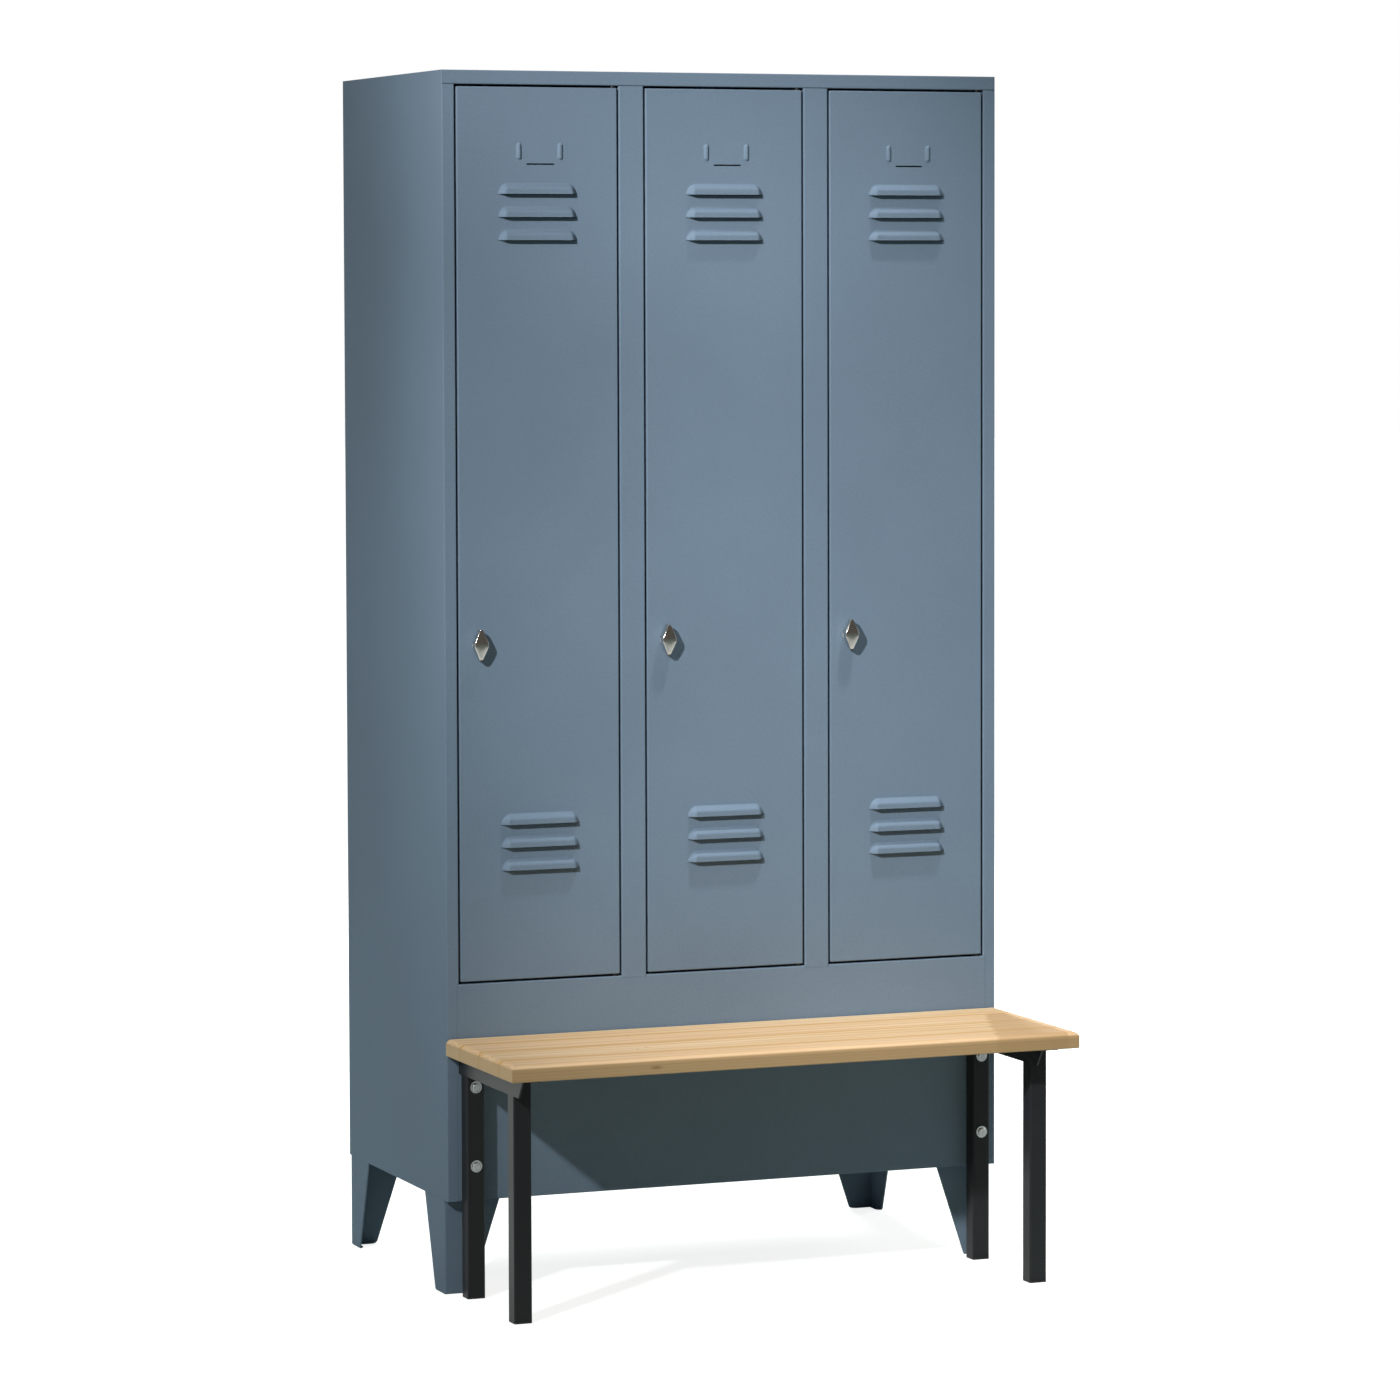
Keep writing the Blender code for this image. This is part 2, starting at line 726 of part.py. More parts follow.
def door(name, number, hoods, voids):
    """A folded pan with louvres and card holder pressed out, turning about its pins."""
    place = (hinge_x(number), FRONT_Y + PIN_INSET, DOOR_BOTTOM)
    hinge = add_empty(f"{name}_hinge", place)
    bm = bmesh.new()
    box(
        bm,
        (PIN_INSET - DOOR_WIDTH, -PIN_INSET, 0),
        (PIN_INSET, DOOR_DEPTH - PIN_INSET, DOOR_HEIGHT),
    )
    rear = outermost(bm.faces, 1)
    bmesh.ops.inset_region(bm, faces=[rear], thickness=DOOR_RETURN)
    bmesh.ops.delete(bm, geom=[rear], context="FACES")
    pan = folded_part(name, bm, parent=hinge)
    combine(pan, "UNION", add_cutter(f"{name}_hoods", hoods, parent=hinge))
    combine(pan, "DIFFERENCE", add_cutter(f"{name}_voids", voids, parent=hinge))
    return hinge


def hinge_pin(name, place, turn):
    """A headed pin with a collar that the door runs on."""
    collar_top = DOOR_GAP - FIT
    tip = DOOR_GAP + SHEET + PIN_ENGAGEMENT
    under = -SHEET - FIT
    profile = [
        (0, tip),
        (PIN_RADIUS, tip),
        (PIN_RADIUS, collar_top),
        (PIN_COLLAR_RADIUS, collar_top),
        (PIN_COLLAR_RADIUS, FIT),
        (PIN_RADIUS, FIT),
        (PIN_RADIUS, under),
        (PIN_COLLAR_RADIUS, under),
        (PIN_COLLAR_RADIUS, under - PIN_HEAD),
        (0, under - PIN_HEAD),
    ]
    turned_part(name, profile, "oiled_steel", place=place, turn=turn)


def knob_handle():
    """The grip: an upright lozenge with cut tips, a narrow rim and a crowned front."""
    outline = [
        (KNOB_TIP_HALF_WIDTH, KNOB_HALF_HEIGHT),
        (-KNOB_TIP_HALF_WIDTH, KNOB_HALF_HEIGHT),
        (-KNOB_HALF_WIDTH, KNOB_SIDE_HALF_HEIGHT),
        (-KNOB_HALF_WIDTH, -KNOB_SIDE_HALF_HEIGHT),
        (-KNOB_TIP_HALF_WIDTH, -KNOB_HALF_HEIGHT),
        (KNOB_TIP_HALF_WIDTH, -KNOB_HALF_HEIGHT),
        (KNOB_HALF_WIDTH, -KNOB_SIDE_HALF_HEIGHT),
        (KNOB_HALF_WIDTH, KNOB_SIDE_HALF_HEIGHT),
    ]
    body = KNOB_THICKNESS - KNOB_RIM_RISE - KNOB_CROWN_RISE
    bm = bmesh.new()
    bm.from_mesh(flat_mesh("knob_body", [outline], body))
    bmesh.ops.dissolve_limit(bm, angle_limit=TINY, verts=bm.verts, edges=bm.edges)
    middle = KNOB_REACH - KNOB_THICKNESS + body / 2
    bmesh.ops.translate(bm, verts=bm.verts, vec=(0, 0, middle))
    front = outermost(bm.faces, 2)
    bmesh.ops.inset_region(bm, faces=[front], thickness=KNOB_RIM, depth=KNOB_RIM_RISE)
    bmesh.ops.inset_region(bm, faces=[front], thickness=KNOB_CROWN_INSET, depth=KNOB_CROWN_RISE)
    bmesh.ops.recalc_face_normals(bm, faces=bm.faces)
    return mesh_from("knob_handle", bm)


def latch(number, hinge, handle, cam_plate, nut_plate):
    """A knob with its spindle and cam on one axis, and the nut that holds it in the door."""
    place = (PIN_INSET - DOOR_WIDTH + KNOB_INSET, -PIN_INSET, KNOB_HEIGHT - DOOR_BOTTOM)
    axis = add_empty(f"latch_{number}_axis", place, hinge, (math.pi / 2, 0, 0))
    buried = KNOB_REACH - KNOB_THICKNESS / 2
    tail = -(CAM_FRONT + CAM_THICKNESS + SPINDLE_TAIL)
    profile = [
        (0, buried),
        (NECK_RADIUS, buried),
        (NECK_RADIUS, FIT + NECK_FLARE),
        (NECK_RADIUS + NECK_FLARE, FIT),
        (SPINDLE_RADIUS, FIT),
        (SPINDLE_RADIUS, tail),
        (0, tail),
    ]
    knob = turned_part(f"knob_{number}", profile, "chrome", parent=axis)
    combine(knob, "UNION", add_cutter(f"knob_{number}_grip", handle, parent=axis))
    add_part(
        f"cam_{number}", cam_plate.copy(), "zinc",
        (0, 0, -CAM_FRONT - CAM_THICKNESS / 2), axis,
    )
    add_part(
        f"lock_nut_{number}", nut_plate.copy(), "zinc",
        (0, 0, -SHEET - FIT - NUT_THICKNESS / 2), axis,
    )


def doors_with_latches():
    """All doors, and the pins, knobs, cams and nuts that belong to them."""
    hoods = mesh_from("door_hoods", pressed_shapes(0))
    carved = pressed_shapes(PRESSED_WALL)
    add_door_holes(carved)
    voids = mesh_from("door_voids", carved)
    bore = arc(SPINDLE_RADIUS + RUNNING_FIT, 0, 360 - 360 / TURN_STEPS, TURN_STEPS - 1)
    tip = KNOB_INSET + DOOR_GAP + CAM_HOLD - CAM_HALF_WIDTH
    round_end = arc(CAM_HALF_WIDTH, 0, 180, TURN_STEPS // 2)
    round_tip = arc(CAM_HALF_WIDTH, 180, 360, TURN_STEPS // 2, (0, -tip))
    cam_plate = flat_mesh("cam", [round_end + round_tip, bore], CAM_THICKNESS)
    nut_plate = flat_mesh("lock_nut", [arc(NUT_RADIUS, 0, 300, 5), bore], NUT_THICKNESS)
    handle = knob_handle()
    for number in range(COMPARTMENTS):
        label = number + 1
        hinge = door(f"door_{label}", number, hoods, voids)
        latch(label, hinge, handle, cam_plate, nut_plate)
        x, y = hinge_x(number), FRONT_Y + PIN_INSET
        hinge_pin(f"hinge_pin_lower_{label}", (x, y, PLINTH_TOP), (0, 0, 0))
        hinge_pin(f"hinge_pin_upper_{label}", (x, y, FLANGE_BOTTOM), (math.pi, 0, 0))


# Feet

def foot(name, side, end):
    """A folded corner foot whose two plates taper to mitred flanges on the floor."""
    bm = bmesh.new()
    box(bm, (0, 0, 0), (FOOT_TOP_WIDTH, FOOT_TOP_WIDTH, FOOT_HEIGHT))
    for point in bm.verts:
        if point.co.z < TINY:
            point.co.x = min(point.co.x, FOOT_FLOOR_WIDTH)
            point.co.y = min(point.co.y, FOOT_FLOOR_WIDTH)
    bottom = outermost(bm.faces, 2, min)
    spare = [outermost(bm.faces, axis) for axis in range(3)]
    ring = bmesh.ops.inset_region(bm, faces=[bottom], thickness=FOOT_FLANGE)["faces"]
    spare += [bottom, outermost(ring, 0), outermost(ring, 1)]
    bmesh.ops.delete(bm, geom=spare, context="FACES")
    tops = [e for e in bm.edges if min(v.co.z for v in e.verts) > FOOT_HEIGHT - TINY]
    drawn = bmesh.ops.extrude_edge_only(bm, edges=tops)["geom"]
    far = [item for item in drawn if isinstance(item, bmesh.types.BMVert)]
    bmesh.ops.translate(bm, verts=far, vec=(0, 0, FOOT_TUCK))
    bmesh.ops.scale(bm, verts=bm.verts, vec=(-side, -end, 1))
    if side * end < 0:
        bmesh.ops.reverse_faces(bm, faces=bm.faces)
    depth = FOOT_SET_BACK if end < 0 else BACK_INNER - FIT
    place = (across(side, SHEET + FIT), FRONT_Y + depth, 0)
    folded_part(name, bm, sheet=FOOT_SHEET, place=place)


# Bench

def seat_board():
    """The wooden seat, round along the top of its front and ends, with blind screw holes."""
    bm = bmesh.new()
    box(
        bm,
        (across(-1, -SEAT_OVERHANG), FRONT_Y - BENCH_REACH, SEAT_TOP - SEAT_THICKNESS),
        (across(1, -SEAT_OVERHANG), FRONT_Y - SEAT_REAR_GAP, SEAT_TOP),
    )
    rear = outermost(bm.faces, 1)
    tops = [e for e in outermost(bm.faces, 2).edges if rear not in e.link_faces]
    bmesh.ops.bevel(
        bm, geom=tops, offset=SEAT_ROUNDING, segments=5, profile=0.5, affect="EDGES",
    )
    seat = add_part("seat_board", mesh_from("seat_board", bm), "pine")
    round_bends(seat, SEAT_ARRIS, 2, math.radians(89))
    combine(seat, "DIFFERENCE", add_cutter("seat_board_holes", screw_holes()))
    shade_round(seat)


def rail_left(side):
    """The X of a rail's outer left face."""
    return leg_x(side) - LEG / 2 - FIT - RAIL_SHEET


def screw_places(side):
    """Where a rail's two seat screws stand, rear one first."""
    x = rail_left(side) + (RAIL_SHEET + RAIL_FLANGE) / 2
    rear = REAR_LEG_Y - LEG / 2 - SCREW_FROM_LEG
    front = FRONT_LEG_Y + LEG / 2 + SCREW_FROM_LEG
    return [(x, rear), (x, front)]


def screw_holes():
    """The shafts' holes, through both rails and into the seat."""
    bm = bmesh.new()
    for side in (-1, 1):
        for x, y in screw_places(side):
            top = RAIL_TOP + SCREW_LENGTH + FIT
            rod(bm, (x, y, RAIL_UNDERSIDE - OVERRUN), (x, y, top), SCREW_RADIUS + FIT)
    return mesh_from("screw_holes", bm)


def bench_rail(name, side):
    """An angle rail on the left of its legs, with the front end cut on a slant."""
    path = [(-RAIL_DEPTH, 0), (0, 0), (0, RAIL_FLANGE)]
    nose = FRONT_LEG_Y - LEG / 2 - RAIL_NOSE
    bm = folded_surface(path, "Y", nose, REAR_LEG_Y + LEG / 2)
    rail = add_part(name, mesh_from(name, bm), "black_paint", (rail_left(side), 0, RAIL_TOP))
    thicken(rail, RAIL_SHEET)
    combine(rail, "DIFFERENCE", add_cutter(f"{name}_holes", screw_holes()))
    bm = bmesh.new()
    low = -RAIL_DEPTH - OVERRUN
    wedge = box(bm, (-OVERRUN, nose - OVERRUN, low), (RAIL_FLANGE + OVERRUN, nose, OVERRUN))
    for point in wedge:
        if point.co.y > nose - TINY:
            point.co.y -= RAIL_SLANT * point.co.z / RAIL_DEPTH
    slant = add_cutter(f"{name}_slant", mesh_from(name, bm), (rail_left(side), 0, RAIL_TOP))
    combine(rail, "DIFFERENCE", slant)


def bench_leg(name, side, y, bolted):
    """A square tube, drilled through both walls where bolts hold it to the plinth."""
    bm = bmesh.new()
    half = LEG / 2
    box(bm, (-half, -half, CAP_BASE + FIT), (half, half, RAIL_UNDERSIDE - FIT))
    round_uprights(bm, LEG_CORNER, 2)
    ends = [outermost(bm.faces, 2), outermost(bm.faces, 2, min)]
    bmesh.ops.delete(bm, geom=ends, context="FACES")
    leg = add_part(name, mesh_from(name, bm), "black_paint", (leg_x(side), y, 0))
    thicken(leg, LEG_WALL)
    if bolted:
        bm = bmesh.new()
        for height in (BOLT_UPPER_HEIGHT, BOLT_LOWER_HEIGHT):
            reach = half + OVERRUN
            rod(bm, (0, -reach, height), (0, reach, height), BOLT_RADIUS + FIT)
        holes = add_cutter(f"{name}_holes", mesh_from(name, bm), (leg_x(side), y, 0))
        combine(leg, "DIFFERENCE", holes)


def leg_cap(name, side, y):
    """A plastic end cap under a leg, plugged into the tube."""
    bm = bmesh.new()
    half = LEG / 2
    box(bm, (-half, -half, 0), (half, half, CAP_BASE))
    round_uprights(bm, LEG_CORNER, 2)
    cap = add_part(name, mesh_from(name, bm), "black_plastic", (leg_x(side), y, 0))
    bm = bmesh.new()
    half = LEG / 2 - LEG_WALL - CAP_PLAY
    box(bm, (-half, -half, CAP_BASE / 2), (half, half, CAP_BASE + CAP_PLUG))
    plug = add_cutter(f"{name}_plug", mesh_from(name, bm), (leg_x(side), y, 0))
    combine(cap, "UNION", plug)


def bench_bolt(name, side, height):
    """A bolt with its washer, from the rear leg's front face into the plinth."""
    top = WASHER_THICKNESS + BOLT_HEAD_HEIGHT
    tail = -(FIT + LEG + FIT + SHEET + BOLT_TAIL)
    profile = [
        (0, top),
        (BOLT_HEAD_RADIUS - BOLT_HEAD_EDGE, top),
        (BOLT_HEAD_RADIUS, top - BOLT_HEAD_EDGE),
        (BOLT_HEAD_RADIUS, WASHER_THICKNESS),
        (WASHER_RADIUS, WASHER_THICKNESS),
        (WASHER_RADIUS, 0),
        (BOLT_RADIUS, 0),
        (BOLT_RADIUS, tail),
        (0, tail),
    ]
    place = (leg_x(side), REAR_LEG_Y - LEG / 2 - FIT, height)
    turned_part(name, profile, "zinc", place=place, turn=(math.pi / 2, 0, 0))


def seat_screw(name, x, y):
    """A screw from under the rail's flange up into the seat."""
    under = RAIL_UNDERSIDE - FIT
    profile = [
        (0, RAIL_TOP + SCREW_LENGTH),
        (SCREW_RADIUS, RAIL_TOP + SCREW_LENGTH),
        (SCREW_RADIUS, under),
        (SCREW_HEAD_RADIUS, under),
        (SCREW_HEAD_RADIUS, under - SCREW_HEAD_HEIGHT),
        (0, under - SCREW_HEAD_HEIGHT),
    ]
    turned_part(name, profile, "zinc", steps=TURN_STEPS // 2, place=(x, y, 0))


def bench():
    """The seat on its two frames, and the bolts to the plinth."""
    seat_board()
    for side, hand in ((-1, "left"), (1, "right")):
        bench_rail(f"bench_rail_{hand}", side)
        for end, y in (("front", FRONT_LEG_Y), ("rear", REAR_LEG_Y)):
            bench_leg(f"bench_leg_{end}_{hand}", side, y, end == "rear")
            leg_cap(f"leg_cap_{end}_{hand}", side, y)
        bench_bolt(f"bench_bolt_upper_{hand}", side, BOLT_UPPER_HEIGHT)
        bench_bolt(f"bench_bolt_lower_{hand}", side, BOLT_LOWER_HEIGHT)
        for end, (x, y) in zip(("rear", "front"), screw_places(side)):
            seat_screw(f"seat_screw_{end}_{hand}", x, y)


def casing():
    """The locker's body with its inner walls and fittings."""
    for side, hand in ((-1, "left"), (1, "right")):
        side_panel(f"side_panel_{hand}", side)
        foot(f"foot_front_{hand}", side, -1)
        foot(f"foot_rear_{hand}", side, 1)
    top_panel()
    plinth_panel()
    back_panel()
    floor_panel()
    for number in range(1, COMPARTMENTS):
        middle_stile(f"middle_stile_{number}", number)
        partition(f"partition_{number}", number)
    for number in range(COMPARTMENTS):
        hat_shelf(f"hat_shelf_{number + 1}", number)
        coat_rail(f"coat_rail_{number + 1}", number)


casing()
doors_with_latches()
bench()
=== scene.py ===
"""Looks, camera and light for the steel locker with its bench.

Lengths are metres, in the frame's own coordinates: +Z is up and the doors face -Y.
"""

import math

import bmesh
import bpy
from mathutils import Matrix, Vector

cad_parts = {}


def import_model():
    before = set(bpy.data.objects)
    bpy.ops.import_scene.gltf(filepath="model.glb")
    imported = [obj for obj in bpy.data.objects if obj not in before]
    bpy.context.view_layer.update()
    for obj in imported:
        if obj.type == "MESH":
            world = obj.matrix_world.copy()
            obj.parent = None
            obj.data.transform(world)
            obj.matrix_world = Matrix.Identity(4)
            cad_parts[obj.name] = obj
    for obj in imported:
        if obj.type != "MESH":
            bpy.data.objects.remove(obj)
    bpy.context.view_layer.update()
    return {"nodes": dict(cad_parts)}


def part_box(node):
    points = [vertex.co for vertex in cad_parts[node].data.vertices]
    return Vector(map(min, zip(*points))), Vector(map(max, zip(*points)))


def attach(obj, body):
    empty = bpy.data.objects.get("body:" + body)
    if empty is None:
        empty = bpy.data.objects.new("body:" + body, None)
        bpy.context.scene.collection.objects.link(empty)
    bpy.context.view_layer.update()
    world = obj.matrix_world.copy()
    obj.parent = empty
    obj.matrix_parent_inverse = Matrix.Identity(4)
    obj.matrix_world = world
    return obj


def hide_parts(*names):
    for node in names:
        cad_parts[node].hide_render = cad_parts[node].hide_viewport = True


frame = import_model()
NODES = frame["nodes"]
COMPARTMENTS = (1, 2, 3)

# Camera, found from the photograph's edges: angles in degrees, focal length in its pixels
EYE = (-3.0165, -7.5480, 1.5267)
YAW, PITCH, ROLL = 21.7453, -3.2921, -0.1616
FOCAL_PIXELS = 5256.3
IMAGE = 1400
SHIFT_Y = -0.08
SENSOR_WIDTH = 36.0
CLIP_END = 100.0

# Spots as place, aim, half angle in radians and watts: three share the work of one shaped beam
KEY_PLACE = (-5.526, -4.705, 4.600)
SEAT_PLACE = (0.6, -1.0, 4.6)
SPOTS = {
    "key_high": (KEY_PLACE, (-0.230, -0.09, 1.960), 0.066, 1785.0),
    "key_left": (KEY_PLACE, (-1.274, -0.09, 0.960), 0.261, 1080.0),
    "key_right": (KEY_PLACE, (0.828, -0.09, 0.718), 0.144, 2260.0),
    "seat_spot": (SEAT_PLACE, (0.08, -0.24, 0.393), 0.180, 395.0),
}
SPOT_RADIUS = 0.16

# Square soft boxes as place, aim and watts
BOXES = {
    "behind": ((0.8, 4.8, 3.2), (0.1, 0.3, 0.9), 190.0),
    "beside": ((3.6, 0.9, 2.2), (0.458, 0.15, 0.9), 30.0),
}
BOX_SIZE = 1.6

# World: a faint fill. Metal sees white low down and behind, a dark studio above and in front
FILL_COLOUR = (0.92, 1.0, 0.98)
FILL_STRENGTH = 0.165
WHITE = (1.0, 1.0, 1.0)
CEILING = (0.10, 0.09, 0.08)
CEILING_FADE = (0.03, 0.36)
FRONT_FADE = (-0.10, -0.60)

# Floor: its glow grows away from the object, which keeps the shadow and whitens the rest
FLOOR_COLOUR = (0.60, 0.66, 0.60)
FLOOR_ROUGHNESS = 0.9
FLOOR_REACH = 40.0
GLOW_RADII, GLOW = (0.9, 3.0), (0.84, 1.0)
SHINE_DEPTHS, SHINE = (-4.2, -0.5), (0.03, 0.62)

# Doors
FRONT = -0.090
SHEET = 0.001
BEND, BEND_STEPS = 0.0016, 4
FOLD_ANGLE = 1.0
PAN_DEPTH = 0.018
PAN_RETURN = 0.012
PIN_INSET = 0.0055
PIN_HOLE, PIN_STEPS = 0.0026, 16
SPINDLE_HOLE, SPINDLE_STEPS = 0.0041, 20
SLOT_DROP = 0.1155
SLOT_SIZE, SLOT_STEPS = (0.045, 0.0022), 6
FLAT = 0.99999

# Pressings: a louvre and a card tab as length, height, end, depth and two slope widths
LOUVRE = (0.1268, 0.0167, 0.0135, 0.0092, 0.0088, 0.0105)
LOUVRE_GRID = (12, 10)
LOUVRE_ROWS = 3
LOUVRE_PITCH = 0.0347
UPPER_DROP = 0.1604
LOWER_RISE = 0.1665
TAB = (0.0269, 0.0060, 0.0045, 0.0027, 0.0034, 0.0034)
TAB_GRID = (6, 5)
TAB_SPACING = 0.066
TAB_DROP = 0.0961
CARD_OFFSET = 0.005
SLIT = 0.0008
SLOPE_POWER = 3
SOFT_SHARE, STRAIGHT_SHARE = 0.8, 0.2
CLOSED_SHARE = 0.001

# Knobs: rings as a share of the outline and how far they lie from the back, then the crest
KNOB_INSET = 0.0303
KNOB_HEIGHT = 0.988
KNOB_REACH = 0.0185
KNOB_BACK = 0.0040
KNOB_BEVEL = 0.0020
KNOB_WIDTH, KNOB_TALL = 0.0114, 0.0233
KNOB_TIP, KNOB_SIDE = 0.0025, 0.0032
KNOB_CORNER, CORNER_STEPS = 0.0016, 4
KNOB_ARCH = 0.24
KNOB_PILLOW = 0.0010
KNOB_FACE, FACE_RINGS = 0.84, 9
BACK_RINGS = ((0.80, 0.0), (0.93, 0.0004), (0.985, KNOB_BEVEL))
RIM_RINGS = (
    (1.0, -0.0022), (0.985, -0.0014), (0.945, -0.0006), (0.895, -0.0002), (KNOB_FACE, 0.0),
)
CREASE_ANGLE = 0.9

# The neck's rings as a radius and how far they stand out of the door
NECK = (
    (0.0085, KNOB_BACK + KNOB_BEVEL), (0.0085, 0.0018), (0.0100, 0.0003), (0.0040, 0.0003),
    (0.0040, -0.0245),
)
NECK_STEPS = 32

# Colours
PAINT = (0.173, 0.237, 0.312)
BLACK = (0.020, 0.022, 0.024)
ZINC = (0.47, 0.50, 0.50)
STEEL = (0.060, 0.058, 0.055)
CHROME = (0.74, 0.72, 0.68)
PLASTIC = (0.014, 0.014, 0.015)
PINE = (0.84, 0.63, 0.40)
PINE_WARM = (0.72, 0.48, 0.25)
PINE_ROSY = (0.80, 0.54, 0.32)
PINE_LINE = (0.56, 0.33, 0.13)
PINE_GLUE = (0.62, 0.34, 0.09)
PINE_DARK = (0.43, 0.25, 0.10)
PINE_END = (0.46, 0.31, 0.15)
# Painted shade: the colour that darkens the seat's front face for the weaker light falling on it
PINE_FRONT_SHADE = (0.40, 0.265, 0.125)
PINE_KNOT = (0.20, 0.10, 0.04)

# Powder coat, metal and plastic: noises, shares of a colour, changes of roughness, and heights
NOISE_BAND = (0.3, 0.7)
NOISE_MIDDLE = 0.5
CLOUD = {"scale": 3.0, "detail": 3.0}
CLOUD_SHARES = (0.94, 1.05)
CLOUD_ROUGHNESS = (-0.04, 0.05)
GRAIN = {"scale": 420.0, "detail": 2.0}
GRAIN_BAND = (0.35, 0.65)
GRAIN_SHARES = (0.96, 1.04)
PEEL, PEEL_HEIGHT = {"scale": 900.0, "detail": 1.0}, 0.00003
WAVE, WAVE_HEIGHT = {"scale": 260.0, "detail": 1.0}, 0.00008
SCRATCHES = {"scale": 900.0, "detail": 2.0, "stretch": (1.0, 1.0, 0.15)}
SCRATCH_SHARE = 0.85
POLISH = {"scale": 120.0, "detail": 2.0}
POLISH_ROUGHNESS = (-0.03, 0.05)
MOULD, MOULD_HEIGHT = {"scale": 1500.0, "detail": 2.0}, 0.00003
MOULD_ROUGHNESS = (-0.06, 0.08)

# Seat: where it is, the glue lines between its staves, and the middles of their growth rings
SEAT_TOP = 0.393
SEAT_FRONT = -0.390
GLUE_LINES = (-0.158, -0.2425, -0.331)
RING_MIDDLES = (-0.118, -0.215, -0.272, -0.372)
RING_DEPTH = 0.062
RING_WIDTH = 0.0046

# Pine: noises along the grain, and fades from where a colour is absent to where it is full
SWAY, SWAY_REACH = {"scale": 1.0, "detail": 2.0, "stretch": (1.6, 5.0, 5.0)}, 0.030
WANDER, WANDER_REACH = {"scale": 14.0, "detail": 1.0}, 0.003
STREAKS = {"scale": 46.0, "detail": 4.0, "stretch": (0.05, 1.0, 1.0)}
FIBRES = {"scale": 800.0, "detail": 3.0, "roughness": 0.6, "stretch": (0.022, 1.0, 1.0)}
RAGGED, RAGGED_REACH = {"scale": 30.0, "detail": 2.0, "stretch": (0.4, 1.0, 1.0)}, 0.040
STREAK_FADE = (0.32, 0.70)
FIBRE_FADE = (0.52, 0.72)
LATE_RISE, LATE_FALL = (0.35, 0.88), (1.0, 0.93)
GLUE_FADE = (0.0085, 0.002)
END_FADE = (0.4565, 0.4575)
# Painted shade: the fade onto the seat's front face, which is darkened for the weaker light there
FRONT_SHADE_FADE = (SEAT_FRONT + 0.0015, SEAT_FRONT + 0.0005)
PINE_GLOSS = 0.25
PINE_ROUGHNESS = (0.46, 0.60)
PINE_HEIGHT = 0.00006
LATE_HEIGHT = -0.4

# The darker patch near the seat's right end: its slanting left edge, and its right one
PATCH_X, PATCH_Y, PATCH_SLANT = 0.400, -0.18, 0.375
PATCH_FADE = (0.012, 0.026)
PATCH_END = (0.4405, 0.4375)

# Knots
SPECKS = (
    (-0.1885, -0.154, SEAT_TOP), (-0.226, -0.297, SEAT_TOP), (-0.207, -0.2825, SEAT_TOP),
)
SPECK_FADE = (0.0024, 0.0012)
KNOT = (-0.2325, SEAT_FRONT, 0.3785)
KNOT_TURN, KNOT_STRETCH = (0.0, 0.5, 0.0), (0.3, 1.0, 1.0)
KNOT_FADE = (0.0038, 0.0008)

# How strongly each colour covers the pine
ROSY_SHARE = 0.45
LATE_SHARE = 0.50
GLUE_SHARE = 0.72
PATCH_SHARE = 0.50
FIBRE_SHARE = 0.16
END_SHARE = 0.80
# The next share sets how strongly painted shade darkens the seat's front face
FRONT_SHADE_SHARE = 0.80
SPECK_SHARE = 0.75
KNOT_SHARE = 0.55


class Wiring:
    """Shader nodes being added to a tree and linked."""

    def __init__(self, tree):
        self.tree = tree

    def feed(self, socket, value):
        """A value or another node's output on a socket."""
        if isinstance(value, bpy.types.NodeSocket):
            self.tree.links.new(value, socket)
        else:
            socket.default_value = value

    def node(self, kind, inputs=(), **settings):
        made = self.tree.nodes.new(kind)
        for name, value in settings.items():
            setattr(made, name, value)
        for name, value in dict(inputs).items():
            self.feed(made.inputs[name], value)
        return made

    def math(self, operation, first, second=0.0, third=0.0):
        inputs = {0: first, 1: second, 2: third}
        return self.node("ShaderNodeMath", inputs, operation=operation).outputs[0]

    def fade(self, value, start, end):
        """A soft step from 0 at one value to 1 at the other, which may be the lower."""
        inputs = {"Value": value, "From Min": min(start, end), "From Max": max(start, end)}
        if start > end:
            inputs.update({"To Min": 1.0, "To Max": 0.0})
        made = self.node("ShaderNodeMapRange", inputs, interpolation_type="SMOOTHSTEP")
        return made.outputs[0]

    def mix(self, share, first, second, blend="MIX"):
        made = self.node("ShaderNodeMix", data_type="RGBA", blend_type=blend)
        self.feed(made.inputs[0], share)
        for socket, value in ((made.inputs[6], first), (made.inputs[7], second)):
            self.feed(socket, (*value, 1.0) if isinstance(value, tuple) else value)
        return made.outputs[2]

    def rays(self):
        """1 for the camera's own rays, and 1 for those that metal or glass sends out."""
        path = self.node("ShaderNodeLightPath").outputs
        shiny = self.math("MAXIMUM", path["Is Glossy Ray"], path["Is Transmission Ray"])
        return path["Is Camera Ray"], shiny


